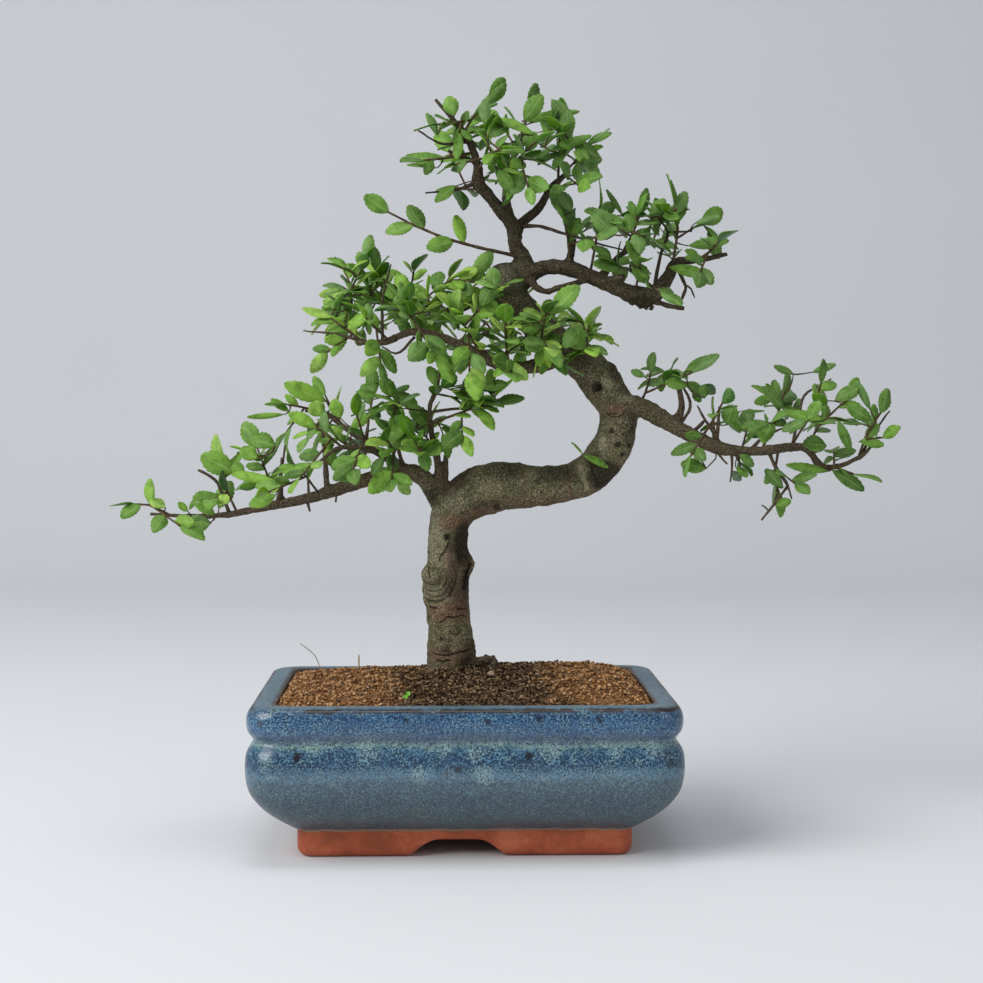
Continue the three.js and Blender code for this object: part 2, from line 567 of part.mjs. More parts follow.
// The shoots and leaves of every spray. A leaf takes the first of its tries that is clear
// of everything placed before
function growSprays() {
  const plantOf = (spray, index) => ({ name: spray[0], shoots: shootsOf(spray, index + 1), leaves: [] });
  const plants = sprays.map(plantOf);
  plants.push({ name: 'spray_long_shoot', shoots: [longShoot], leaves: [] });
  const woodLines = [...Object.values(boughs), ...stubs];
  const woodSamples = woodLines.flatMap((points) => samplesAlong(points, 4 * points.length));
  const twigSamples = plants.map(({ shoots }) => shoots.flatMap((points) => samplesAlong(points, 14)));
  const placed = [];
  plants.forEach((plant, index) => {
    const others = twigSamples.filter((samples, other) => other !== index).flat();
    const viewerFacing = plant.name === 'spray_long_shoot';
    plant.shoots.forEach((points, order) => {
      const outward = pointAlong(points, 1).sub(pointAlong(points, 0));
      const places = viewerFacing ? longShootPlaces : placesOn(outward.length());
      outward.normalize();
      if (viewerFacing) outward.set(0, -2.4, 0);
      places.forEach((part, number) => {
        const side = number % 2 === 0 ? 1 : -1;
        const draw = draws(1000 * index + 100 * order + number + 500);
        for (let attempt = 0; attempt < tries; attempt += 1) {
          const leaf = leafPlace(points, part, side, outward, draw);
          const samples = leafSamples(leaf);
          const taken = near(samples, placed, leafClearance)
            || near(samples, others, stemClearance)
            || near(samples, woodSamples, stemClearance);
          if (!taken) {
            plant.leaves.push(leaf);
            placed.push(...samples);
            break;
          }
        }
      });
    });
  });
  return plants;
}

function boxesApart(a, b) {
  const first = a.boundingBox();
  const second = b.boundingBox();
  return [0, 1, 2].some((i) => first.min[i] > second.max[i] + 1 || second.min[i] > first.max[i] + 1);
}

function clearOf(solid, others) {
  return others.every((other) => boxesApart(solid, other) || solid.minGap(other, 1) > seatGap);
}

// Joins each spray's shoots and leaves in one solid. A leaf that would still touch another node is left off
function spraySolids(plants, woodSolid, woodRoom) {
  const stems = plants.map(({ shoots }) => {
    const parts = shoots.map((points) => stem(points, 3, points.length, 0, 0, false));
    return wasm.Manifold.union(parts).subtract(woodRoom);
  });
  const finished = [];
  plants.forEach((plant, index) => {
    const rest = [woodSolid, ...stems.filter((other, i) => i > index), ...finished];
    const leaves = plant.leaves.map(leafSolid).filter((leaf) => clearOf(leaf, rest));
    finished.push(wasm.Manifold.union([stems[index], ...leaves]));
  });
  return finished;
}

// A weed seedling at the front of the soil: a stem with two small blades
const seedlingFoot = [-28, -52, 70];
const seedlingHeight = 8.6;
function seedling() {
  const [x, y, low] = seedlingFoot;
  const top = low + seedlingHeight;
  const parts = [stem([[x, y, low, 0.5], [x + 0.4, y - 0.3, top, 0.4]], 4, 2, 0, 0, false)];
  [[0.75, -0.1, 0.5], [-0.8, -0.1, 0.35]].forEach(([dx, dy, dz], number) => {
    const axis = new THREE.Vector3(dx, dy, dz).normalize();
    const face = up.clone().addScaledVector(axis, -up.dot(axis)).normalize();
    const root = new THREE.Vector3(x + 0.3, y - 0.2, top - 0.5 - number);
    parts.push(leafSolid({ root, axis, face, size: 0.26 }));
  });
  return wasm.Manifold.union(parts);
}

const glaze = finish(0x4a6b8c, 0.25);
const earth = finish(0x6b4f38, 0.95);
const bark = finish(0x5f5646, 0.85);
const greens = [0x4d7a32, 0x5b8a3a, 0x426d2e, 0x6c9c45];

const woodSolid = wood(0);
const woodRoom = wood(seatGap);
const plants = growSprays();
const foliage = spraySolids(plants, woodSolid, woodRoom);

const bonsai = new THREE.Group();
bonsai.add(meshOf('pot', pot(), glaze));
bonsai.add(meshOf('drain_screen_left', drainScreen(-1), finish(0x2c2f2e, 0.6)));
bonsai.add(meshOf('drain_screen_right', drainScreen(1), finish(0x2c2f2e, 0.6)));
bonsai.add(meshOf('soil', soil(woodRoom), earth));
bonsai.add(meshOf('tree_wood', woodSolid, bark));
bonsai.add(meshOf('seedling', seedling(), finish(0x6fae3a, 0.6)));
foliage.forEach((solid, index) => {
  bonsai.add(meshOf(plants[index].name, solid, finish(greens[index % greens.length], 0.55)));
});

export default bonsai;
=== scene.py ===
import bmesh
import bpy
import math
import numpy as np
from mathutils import Matrix, Vector, kdtree, noise


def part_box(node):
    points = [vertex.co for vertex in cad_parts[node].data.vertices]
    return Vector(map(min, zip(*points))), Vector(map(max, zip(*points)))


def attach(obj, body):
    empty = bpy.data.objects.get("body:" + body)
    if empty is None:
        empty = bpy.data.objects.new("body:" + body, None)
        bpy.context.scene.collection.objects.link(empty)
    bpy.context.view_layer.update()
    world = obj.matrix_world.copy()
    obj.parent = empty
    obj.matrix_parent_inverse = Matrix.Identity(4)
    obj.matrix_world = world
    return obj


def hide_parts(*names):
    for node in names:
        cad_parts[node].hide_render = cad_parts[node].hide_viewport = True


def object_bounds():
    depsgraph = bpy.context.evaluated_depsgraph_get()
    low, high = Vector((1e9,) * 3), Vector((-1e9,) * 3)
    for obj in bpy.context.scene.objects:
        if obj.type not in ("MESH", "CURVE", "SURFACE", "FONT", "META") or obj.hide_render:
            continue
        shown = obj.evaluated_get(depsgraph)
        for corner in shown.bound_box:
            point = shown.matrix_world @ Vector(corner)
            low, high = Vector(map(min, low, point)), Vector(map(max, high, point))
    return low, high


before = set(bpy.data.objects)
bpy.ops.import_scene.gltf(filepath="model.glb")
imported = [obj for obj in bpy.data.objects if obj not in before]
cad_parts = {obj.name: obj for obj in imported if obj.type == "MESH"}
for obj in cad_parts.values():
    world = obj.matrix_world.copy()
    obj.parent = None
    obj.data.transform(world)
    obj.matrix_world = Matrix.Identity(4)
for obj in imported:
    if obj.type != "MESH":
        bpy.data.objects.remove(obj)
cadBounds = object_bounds()
potLow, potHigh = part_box("pot")
potCentre = ((potLow[0] + potHigh[0]) / 2, (potLow[1] + potHigh[1]) / 2, 0)


def place(point):
    return Vector([middle + value / 1000 for middle, value in zip(potCentre, point)])


def bumps(x, y, z):
    # smooth noise between about -1 and 1
    return noise.noise(Vector((x, y, z)))


def bell(away, width):
    # 1 at nought, and less to both sides
    return math.exp(-(away / width) ** 2)


def paint(*colour):
    # red, green and blue as the eye reads them, 0 to 255, or one number that is light already
    if len(colour) == 1:
        return colour * 3 + (1.0,)
    return tuple((value / 255) ** 2.2 for value in colour) + (1.0,)


class Reading:
    # one output of a material's node, so that patterns can be added and multiplied
    def __init__(self, finish, socket):
        self.finish, self.socket = finish, socket

    def __add__(self, other):
        return self.finish.maths("ADD", self, other)

    def __sub__(self, other):
        return self.finish.maths("SUBTRACT", self, other)

    def __mul__(self, other):
        return self.finish.maths("MULTIPLY", self, other)

    def __abs__(self):
        return self.finish.maths("ABSOLUTE", self)


class Finish:
    # one material, put together node by node on object coordinates
    def __init__(self, name, roughness, specular=0.5):
        self.material = bpy.data.materials.new(name)
        self.material.use_nodes = True
        self.nodes = self.material.node_tree.nodes
        self.links = self.material.node_tree.links
        self.shader = self.nodes["Principled BSDF"]
        self.set("Roughness", roughness)
        self.set("Specular IOR Level", specular)
        self.where = self.node("TexCoord", "Object", {})

    def feed(self, socket, value):
        if isinstance(value, Reading):
            self.links.new(value.socket, socket)
        else:
            socket.default_value = value

    def set(self, name, value):
        self.feed(self.shader.inputs[name], value)

    def node(self, kind, output, inputs, **settings):
        # a new node of a kind, with its inputs fed, read at one output
        node = self.nodes.new("ShaderNode" + kind)
        for setting, value in settings.items():
            setattr(node, setting, value)
        for socket, value in inputs.items():
            self.feed(node.inputs[socket], value)
        return Reading(self, node.outputs[output])

    def maths(self, operation, first, second=0.0, clamp=False):
        return self.node("Math", 0, {0: first, 1: second}, operation=operation, use_clamp=clamp)

    def vector(self, operation, first, second=(0, 0, 0), output="Vector"):
        return self.node("VectorMath", output, {0: first, 1: second}, operation=operation)

    def grain(self, scale, detail=3.0, rough=0.5, where=None, output=0):
        inputs = {"Scale": scale, "Detail": detail, "Roughness": rough, "Vector": where or self.where}
        return self.node("TexNoise", output, inputs)

    def stray(self, reach, scale, detail=3.0, rough=0.5, where=None):
        # noise that goes to both sides of nought
        return (self.grain(scale, detail, rough, where) - 0.5) * reach

    def cells(self, scale, output="Distance"):
        return self.node("TexVoronoi", output, {"Scale": scale, "Vector": self.where})

    def attribute(self, name, output="Fac"):
        return self.node("Attribute", output, {}, attribute_name=name)

    def axis(self, number, where=None):
        return self.node("SeparateXYZ", number, {0: where or self.where})

    def channels(self, colour):
        red = self.node("SeparateColor", 0, {0: colour})
        return [Reading(self, socket) for socket in red.socket.node.outputs]

    def span(self, value, low, high, fromZero=0.0, toOne=1.0):
        inputs = {"Value": value, "From Min": low, "From Max": high, "To Min": fromZero, "To Max": toOne}
        return self.node("MapRange", 0, inputs)

    def ramp(self, factor, stops):
        # each stop is a place between 0 and 1 and its colour
        reading = self.node("ValToRGB", 0, {0: factor})
        elements = reading.socket.node.color_ramp.elements
        elements[0].position, elements[1].position = stops[0][0], stops[-1][0]
        for stop in stops[1:-1]:
            elements.new(stop[0])
        for element, stop in zip(elements, stops):
            element.color = paint(*stop[1:])
        return reading

    def blend(self, factor, first, second):
        return self.node("Mix", 2, {0: factor, 6: first, 7: second}, data_type="RGBA")

    def relief(self, height, strength, distance):
        inputs = {"Height": height, "Strength": strength, "Distance": distance}
        self.set("Normal", self.node("Bump", 0, inputs))


def plainFinish(name, roughness, specular, grain, stops, relief=None):
    # tones that follow one grain, and bumps that follow another: its scale, detail, strength and depth
    finish = Finish(name, roughness, specular)
    finish.set("Base Color", finish.ramp(finish.grain(*grain), stops))
    if relief:
        scale, detail, strength, depth = relief
        finish.relief(finish.grain(scale, detail), strength, depth)
    return finish


def addObject(name, data):
    thing = bpy.data.objects.new(name, data)
    bpy.context.scene.collection.objects.link(thing)
    return thing


def meshOf(name, bm, smooth=False):
    if smooth:
        for face in bm.faces:
            face.smooth = True
    mesh = bpy.data.meshes.new(name)
    bm.to_mesh(mesh)
    bm.free()
    return mesh


def finishPiece(name, bm, finishes, nodes=()):
    # writes a bmesh out as a piece of the object, smooth shaded
    piece = addObject(name, meshOf(name, bm, True))
    for finish in finishes:
        piece.data.materials.append(finish.material)
    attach(piece, "root")
    if nodes:
        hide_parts(*nodes)
    return piece


def applyModifiers(piece):
    depsgraph = bpy.context.evaluated_depsgraph_get()
    shaped = bpy.data.meshes.new_from_object(piece.evaluated_get(depsgraph))
    piece.modifiers.clear()
    old = piece.data
    piece.data = shaped
    bpy.data.meshes.remove(old)


def pourInto(bm, batch):
    # moves one bmesh into another
    mesh = meshOf("batch", batch)
    bm.from_mesh(mesh)
    bpy.data.meshes.remove(mesh)


def loft(rings):
    # a closed skin over rings of points: the first ring is a circle, pulled out ring by ring
    bm = bmesh.new()
    order = bm.verts.layers.int.new("order")
    verts = bmesh.ops.create_circle(bm, cap_ends=True, segments=len(rings[0]), radius=1)["verts"]
    for number, vert in enumerate(verts):
        vert[order] = number
        vert.co = rings[0][number]
    edges = list({edge for vert in verts for edge in vert.link_edges})
    for points in rings[1:]:
        pulled = bmesh.ops.extrude_edge_only(bm, edges=edges)["geom"]
        edges = [part for part in pulled if isinstance(part, bmesh.types.BMEdge)]
        for vert in {vert for edge in edges for vert in edge.verts}:
            vert.co = points[vert[order]]
    bmesh.ops.contextual_create(bm, geom=edges)
    bmesh.ops.recalc_face_normals(bm, faces=bm.faces[:])
    return bm


def curveAt(points, t):
    # the same smooth curve through points as the solid model's, any number of values a point
    points = [np.asarray(point, float) for point in points]
    count = len(points)
    reach = (count - 1) * t
    index = min(int(reach), count - 2)
    part = reach - index
    second, third = points[index], points[index + 1]
    first = points[index - 1] if index > 0 else 2 * points[0] - points[1]
    fourth = points[index + 2] if index + 2 < count else 2 * points[-1] - points[-2]
    start, end = 0.5 * (third - first), 0.5 * (fourth - second)
    bend = -3 * second + 3 * third - 2 * start - end
    turn = 2 * second - 2 * third + start + end
    return second + start * part + bend * part ** 2 + turn * part ** 3


# The pot
pot = dict(
    halfWidth=102.7, halfDepth=76, cornerSteps=8, longSteps=16, shortSteps=12, rowSteps=3, lip=74.8,
    wobble=0.12, trueBelow=12, unevenLipFrom=60, drain=6.5, drainPlace=38, drainMiddle=14, drainLength=20,
)
arch = dict(
    height=8.8, place=-3.6, flare=2.4, pinch=2.6, toe=0.6, swell=1, below=2, steps=10,
    front=(23.3, 8.7, 90), side=(16, 6, 120),  # half width below and above, and how far it is pulled
)
# inset from the rim band, height and corner radius, from the hollow under the foot over the lip to the inside
potUnderside = [(33.6, 9.6, 4), (32.7, 0, 4)]
potOutside = [
    (26.8, 0, 4), (24.2, 0.8, 5.5), (22.6, 2.6, 7), (22, 5.4, 7.5), (22, 12.4, 7.5), (21.4, 13.2, 8),
    (16.4, 16.6, 10), (9.8, 21.6, 13), (4.4, 27.3, 14.5), (0.5, 33.8, 15), (-1.15, 42, 15), (-1.15, 50, 15),
    (0.1, 54.4, 14.5), (2.3, 57.6, 13.5), (2.3, 59.4, 13.5), (0.3, 62.6, 13.8), (-0.5, 66.3, 14),
    (-0.4, 69.8, 14), (0.4, 72.2, 13.4), (1.6, 73.9, 12.6), (3.6, 74.8, 11.5),
]
potInside = [
    (5.4, 75, 11.2), (9.6, 75, 11.2), (11.2, 74.8, 11.2), (12.4, 73.8, 10.2), (12.6, 72, 10),
    (12.6, 42, 10.5), (18, 28, 12), (27, 20, 11), (34, 18, 9),
]


def rectangleLoop(inset, radius):
    # points of a rectangle with round corners, anticlockwise from the back end of the right side
    halfX, halfY = pot["halfWidth"] - inset - radius, pot["halfDepth"] - inset - radius
    corners = [(halfX, halfY), (-halfX, halfY), (-halfX, -halfY), (halfX, -halfY)]
    loop = []
    for quarter, (x, y) in enumerate(corners):
        for step in range(pot["cornerSteps"] + 1):
            angle = (quarter + step / pot["cornerSteps"]) * math.pi / 2
            loop.append((x + radius * math.cos(angle), y + radius * math.sin(angle)))
        startX, startY = loop[-1]
        nextX, nextY = corners[(quarter + 1) % 4]
        steps = pot["shortSteps"] if quarter % 2 else pot["longSteps"]
        for step in range(1, steps):
            loop.append((startX + (nextX - x) * step / steps, startY + (nextY - y) * step / steps))
    return loop


def archCutter(halfBottom, halfTop, reach, sideways=False):
    # a steep ogee arch with a flat top, drawn as a face and pulled through the foot
    wide, height = halfBottom + arch["flare"], arch["height"]
    knee = (halfBottom + halfTop) / 2 + arch["swell"]
    bend = [(wide, 0), (halfBottom - arch["pinch"], arch["toe"]), (knee, height), (halfTop, height)]
    half = [(wide, -arch["below"])]
    for step in range(arch["steps"] + 1):
        t = step / arch["steps"]
        weights = ((1 - t) ** 3, 3 * t * (1 - t) ** 2, 3 * t * t * (1 - t), t ** 3)
        half.append([sum(weight * point[axis] for weight, point in zip(weights, bend)) for axis in (0, 1)])
    bm = bmesh.new()
    for x, z in half + [(-x, z) for x, z in reversed(half)]:
        bm.verts.new(place((-reach, x, z) if sideways else (x + arch["place"], -reach, z)))
    face = bmesh.ops.contextual_create(bm, geom=bm.verts[:])["faces"]
    pulled = bmesh.ops.extrude_face_region(bm, geom=face, use_keep_orig=True)["geom"]
    way = Vector((2 * reach, 0, 0) if sideways else (0, 2 * reach, 0)) / 1000
    bmesh.ops.translate(bm, vec=way, verts=[part for part in pulled if isinstance(part, bmesh.types.BMVert)])
    bmesh.ops.recalc_face_normals(bm, faces=bm.faces[:])
    return bm


def drainCutter(side):
    bm = bmesh.new()
    middle = Matrix.Translation(place((side * pot["drainPlace"], 0, pot["drainMiddle"])))
    radius, length = pot["drain"] / 1000, pot["drainLength"] / 1000
    bmesh.ops.create_cone(
        bm, cap_ends=True, segments=32, radius1=radius, radius2=radius, depth=length, matrix=middle,
    )
    return bm


def cutAway(piece, cutter):
    tool = addObject("cutter", meshOf("cutter", cutter))
    cut = piece.modifiers.new("cut", "BOOLEAN")
    cut.operation = "DIFFERENCE"
    cut.solver = "EXACT"
    cut.object = tool
    applyModifiers(piece)
    mesh = tool.data
    bpy.data.objects.remove(tool)
    bpy.data.meshes.remove(mesh)


def makePot():
    steps = pot["rowSteps"] * (len(potOutside) - 1)
    outside = [tuple(curveAt(potOutside, step / steps)) for step in range(steps + 1)]
    rings = []
    for inset, height, radius in potUnderside + outside + potInside:
        wobble = pot["wobble"] * min(1, max(0, height - pot["trueBelow"]) / 6)
        ring = []
        for x, y in rectangleLoop(inset, radius):
            uneven = wobble * bumps(x * 0.045, y * 0.045, height * 0.09)
            outward = Vector((x, y)).normalized() * uneven
            lift = 0.4 * uneven if height > pot["unevenLipFrom"] else 0
            ring.append(place((x + outward.x, y + outward.y, max(0, height) + lift)))
        rings.append(ring)
    piece = finishPiece("potBody", loft(rings), [glazeFinish], ["pot"])
    cutAway(piece, archCutter(*arch["front"]))
    cutAway(piece, archCutter(*arch["side"], sideways=True))
    cutAway(piece, drainCutter(-1))
    cutAway(piece, drainCutter(1))


# heights where the glaze changes, where its front stands and how far in from the rim band its lip turns rusty
glaze = dict(
    bandsFrom=10, bandsTo=80, front=-77, edge=73.7, rustFrom=70, rustTo=72, rustInset=11,
    creamFrom=13.3, creamTo=14.9, bareFrom=12.7, bareTo=13.1, coatFrom=74.4, coatTo=73.4,
)
# the glaze's colours by height, then marks on its front: x across, z up, radius and colour
glazeBands = [
    (14, 60, 71, 72), (17, 64, 77, 81), (22, 67, 82, 86), (32, 68, 84, 92), (40, 79, 98, 109),
    (43.5, 94, 121, 138), (46.2, 70, 104, 124), (48, 34, 66, 94), (53, 34, 70, 98), (55.6, 56, 96, 118),
    (57.2, 118, 146, 138), (58.8, 96, 114, 128), (61.6, 80, 96, 120), (63.6, 66, 98, 132),
    (65.5, 50, 88, 126), (70.5, 47, 85, 123), (73.3, 52, 76, 100), (74.3, 80, 104, 120),
    (74.8, 96, 118, 130),
]
glazeSpots = [
    (-78, 53.6, 2.1, 18, 22, 28), (-78.3, 51.8, 1.4, 18, 22, 28), (-64, 54.6, 1.5, 26, 40, 60),
    (29.6, 53.4, 2.1, 14, 14, 16), (-3.6, 46.4, 1.7, 44, 50, 62), (-1.2, 27.4, 1.4, 112, 80, 56),
    (96, 55, 3.2, 24, 34, 46), (96.5, 49, 2.6, 30, 40, 52), (-97, 69, 2.6, 70, 64, 62),
    (34, 70.6, 2, 22, 34, 56), (10, 69, 1.6, 28, 42, 66), (-28, 70.5, 1.7, 22, 34, 54),
    (62, 70, 1.8, 24, 36, 56), (-9, 45, 1, 70, 80, 92),
]
glazePale = [
    (-93, 51, 5), (8, 44, 6), (-22, 45, 5), (40, 56, 7), (-45, 57, 8), (-10, 57, 6), (88, 56, 6),
    (70, 55, 5), (-70, 57, 5), (4, 54, 5),
]


def makeGlaze():
    finish = Finish("speckledBlueGlaze", 0.28)
    height = finish.axis(2) * 1000
    low, high = glaze["bandsFrom"], glaze["bandsTo"]
    level = finish.span(height + (finish.stray(6, 34) + finish.stray(4.2, 330, 3, 0.6)), low, high)
    coloured = finish.ramp(level, [((z - low) / (high - low), *colour) for z, *colour in glazeBands])

    # fine specks, pale and dark, that crowd in the deep bands
    crowd = finish.ramp(level, [
        (0.0, 0.42), (0.45, 0.5), (0.54, 0.9), (0.66, 1), (0.73, 0.42), (0.79, 0.95), (0.9, 0.9), (1.0, 0.5),
    ])
    fine = finish.grain(1150, 2, 0.6)
    paleStops = [(0.36, 96, 144, 172), (0.5, 120, 164, 180), (0.66, 156, 186, 174)]
    pale = finish.ramp(finish.grain(210, 3), paleStops)
    coloured = finish.blend(finish.span(fine, 0.51, 0.61) * 0.66 * crowd, coloured, pale)
    coloured = finish.blend(finish.span(fine, 0.485, 0.385, 0, 0.95) * crowd, coloured, paint(16, 32, 52))
    clouds = finish.span(finish.grain(62, 3, 0.6), 0.42, 0.66, 0, 0.34)
    coloured = finish.blend(clouds * crowd, coloured, paint(30, 52, 88))

    uneven = finish.stray(0.003, 420, 2)

    def nearFront(x, z, inner, outer, strength):
        away = finish.vector("DISTANCE", finish.where, place((x, glaze["front"], z)), "Value")
        return finish.span(away + uneven, inner / 1000, outer / 1000, strength, 0)

    milk = finish.span(fine, 0.44, 0.56, 0.15, 1)
    for x, z, radius in glazePale:
        coloured = finish.blend(nearFront(x, z, 0, radius, 0.68) * milk, coloured, paint(158, 186, 178))
    for x, z, radius, *colour in glazeSpots:
        coloured = finish.blend(nearFront(x, z, radius * 0.6, radius * 1.3, 0.92), coloured, paint(*colour))

    # the glaze breaks dark along the lip's outer edge, and turns rusty where the lip meets the soil
    edge = finish.span(abs(height + finish.stray(1.6, 300, 3, 0.6) - glaze["edge"]), 0.45, 1.15, 1, 0)
    broken = finish.span(finish.grain(48, 4, 0.6), 0.38, 0.5)
    coloured = finish.blend(edge * broken, coloured, paint(44, 34, 32))
    across, deep = (
        abs(finish.axis(side) - potCentre[side]) - (half - glaze["rustInset"]) / 1000
        for side, half in enumerate((pot["halfWidth"], pot["halfDepth"]))
    )
    inner = finish.span(finish.maths("MAXIMUM", across, deep), 0.0006, -0.0006)
    inner = inner * finish.span(height, glaze["rustFrom"], glaze["rustTo"])
    coloured = finish.blend(inner * 0.75, coloured, paint(72, 48, 34))

    # and ends in a cream line over the bare terracotta foot
    end = height + finish.stray(2.2, 90)
    clayStops = [(0.36, 146, 72, 44), (0.5, 170, 84, 54), (0.64, 188, 102, 70)]
    clay = finish.ramp(finish.grain(60, 5, 0.7), clayStops)
    clayDots = finish.span(finish.grain(1500, 3, 0.6), 0.56, 0.66, 0, 0.42)
    clay = finish.blend(clayDots, clay, paint(72, 38, 28))
    cream = finish.span(end, glaze["creamFrom"], glaze["creamTo"])
    coloured = finish.blend(cream, paint(150, 138, 116), coloured)
    glazed = finish.span(end, glaze["bareFrom"], glaze["bareTo"])
    finish.set("Base Color", finish.blend(glazed, clay, coloured))
    shine = finish.ramp(level, [(0.0, 0.44), (0.5, 0.38), (0.62, 0.3), (0.88, 0.2), (0.93, 0.5)])
    finish.set("Roughness", finish.blend(glazed, paint(0.88), shine))
    finish.relief(finish.grain(260, 3) + finish.grain(1300, 2) * 0.4, 0.22, 0.0005)
    finish.set("Coat Weight", finish.span(height, glaze["coatFrom"], glaze["coatTo"], 0, 0.16))
    finish.set("Coat Roughness", 0.22)
    return finish


glazeFinish = makeGlaze()
makePot()
print("pot made")

# The tree's wood
# centrelines of the trunk and boughs, x, y, z and radius from the foot to the tip
boughs = {
    "trunk": [
        (-6, 8, 47.5, 8), (-6, 8, 63.5, 12.5), (-6, 8, 82.5, 12.8), (-6, 6, 97.5, 11.6),
        (-8, 5, 109.5, 11.2), (-9, 4, 122.5, 11.6), (-8, 3, 135.5, 10.6), (-8, 2, 148.5, 10),
        (-6, 0, 160.5, 10.6), (3, -2, 170.5, 12.4), (17, -4, 175.5, 12.6), (32, -5, 175.5, 11),
        (47, -5, 176.5, 9.8), (61, -4, 180.5, 10), (71, -3, 190.5, 10.2), (77, -2, 202.5, 9.8),
        (77, -1, 214.5, 9.2), (70, 0, 226.5, 10.2), (59, 2, 238.5, 9.2), (46, 4, 248.5, 8.2),
        (34, 5, 259.5, 7.8), (24, 4, 270.5, 8.6), (21, 2, 280.5, 7.2),
    ],
    "lowerLeft": [
        (-9, -2, 166.5, 7), (-15, -3, 174.5, 5.5), (-25, -5, 182.5, 4.2), (-40, -7, 181.5, 3.9),
        (-57, -9, 176.5, 3.4), (-76, -12, 170.5, 2.8), (-96, -14, 166.5, 2.2), (-115, -15, 162.5, 1.6),
        (-133, -15, 161.5, 1.1), (-155, -14, 162.5, 0.7),
    ],
    "lowerLeftUpper": [
        (-28, -5, 183.5, 3), (-37, 2, 189.5, 2.2), (-48, 10, 196.5, 1.8), (-60, 17, 204.5, 1.5),
        (-71, 20, 212.5, 1.2), (-81, 21, 213.5, 0.8),
    ],
    "lowerLeftFront": [
        (-30, -5, 183.5, 2.8), (-38, -14, 189.5, 1.9), (-47, -22, 194.5, 1.6), (-61, -28, 195.5, 1.2),
        (-71, -31, 188.5, 0.8),
    ],
    "elbowTwig": [
        (-12, -4, 173.5, 3), (-13, -8, 187.5, 1.9), (-16, -14, 201.5, 1.5), (-17, -18, 213.5, 1.2),
        (-15, -20, 222.5, 0.9),
    ],
    "middleFront": [
        (49, 0, 243.5, 6), (38, -12, 236.5, 4), (21, -24, 234.5, 3.2), (6, -32, 241.5, 2.8),
        (-10, -36, 248.5, 2.4), (-25, -37, 251.5, 2.1), (-39, -37, 246.5, 1.7), (-52, -36, 246.5, 1.2),
    ],
    "middleBack": [
        (29, 6, 267.5, 5.5), (15, 14, 275.5, 3.2), (2, 20, 267.5, 2.6), (-12, 26, 263.5, 2.3),
        (-26, 31, 266.5, 2), (-40, 33, 269.5, 1.7), (-52, 33, 272.5, 1.3), (-63, 33, 283.5, 0.8),
    ],
    "centreBack": [
        (45, 4, 248.5, 5), (42, 16, 254.5, 2.8), (29, 27, 259.5, 2.1), (15, 36, 255.5, 1.6),
        (1, 40, 247.5, 1),
    ],
    "leader": [
        (25, 2, 278.5, 6.5), (30, 1, 288.5, 5), (26, 0, 296.5, 3.6), (25, 0, 305.5, 3.9),
        (19, -4, 312.5, 3.2), (12, -7, 320.5, 3), (7, -9, 326.5, 3.2), (7, -10, 334.5, 2.2),
        (3, -11, 345.5, 1.8), (-4, -12, 355.5, 1.3), (-14, -12, 366.5, 0.7),
    ],
    "leaderRight": [
        (26, 0, 301.5, 3.4), (29, 3, 307.5, 2.6), (38, 8, 315.5, 2.3), (42, 10, 322.5, 2),
        (46, 12, 328.5, 1.5), (54, 14, 335.5, 1),
    ],
    "leaderMiddle": [
        (24, 1, 306.5, 3), (22, 10, 316.5, 2.6), (22, 18, 325.5, 2.2), (24, 24, 335.5, 1.7),
        (23, 27, 343.5, 1.2), (22, 29, 351.5, 0.8),
    ],
    "upperRight": [
        (26, 2, 276.5, 6.5), (34, 0, 282.5, 4.6), (44, -2, 285.5, 3.6), (56, -4, 283.5, 4),
        (70, -6, 277.5, 3.6), (85, -7, 271.5, 4.4), (95, -8, 271.5, 4.2), (102, -8, 280.5, 3.2),
        (106, -8, 287.5, 2.4), (118, -9, 288.5, 1.5), (131, -10, 291.5, 0.9),
    ],
    "upperRightBack": [(68, -6, 278.5, 3.2), (73, 6, 285.5, 1.8), (81, 17, 293.5, 1.4), (91, 27, 298.5, 1)],
    "right": [
        (75, -1, 217.5, 6.5), (88, -4, 215.5, 5), (101, -7, 208.5, 4.2), (115, -10, 200.5, 3.8),
        (129, -13, 194.5, 3.1), (146, -15, 193.5, 2.6), (162, -16, 195.5, 2.4), (170, -17, 194.5, 2.1),
        (179, -18, 185.5, 1.6), (194, -20, 189.5, 1.2), (202, -21, 196.5, 0.8),
    ],
    "rightUpper": [
        (105, -8, 206.5, 3), (109, -6, 214.5, 1.8), (108, -5, 224.5, 1.4), (106, -4, 231.5, 0.8),
    ],
}
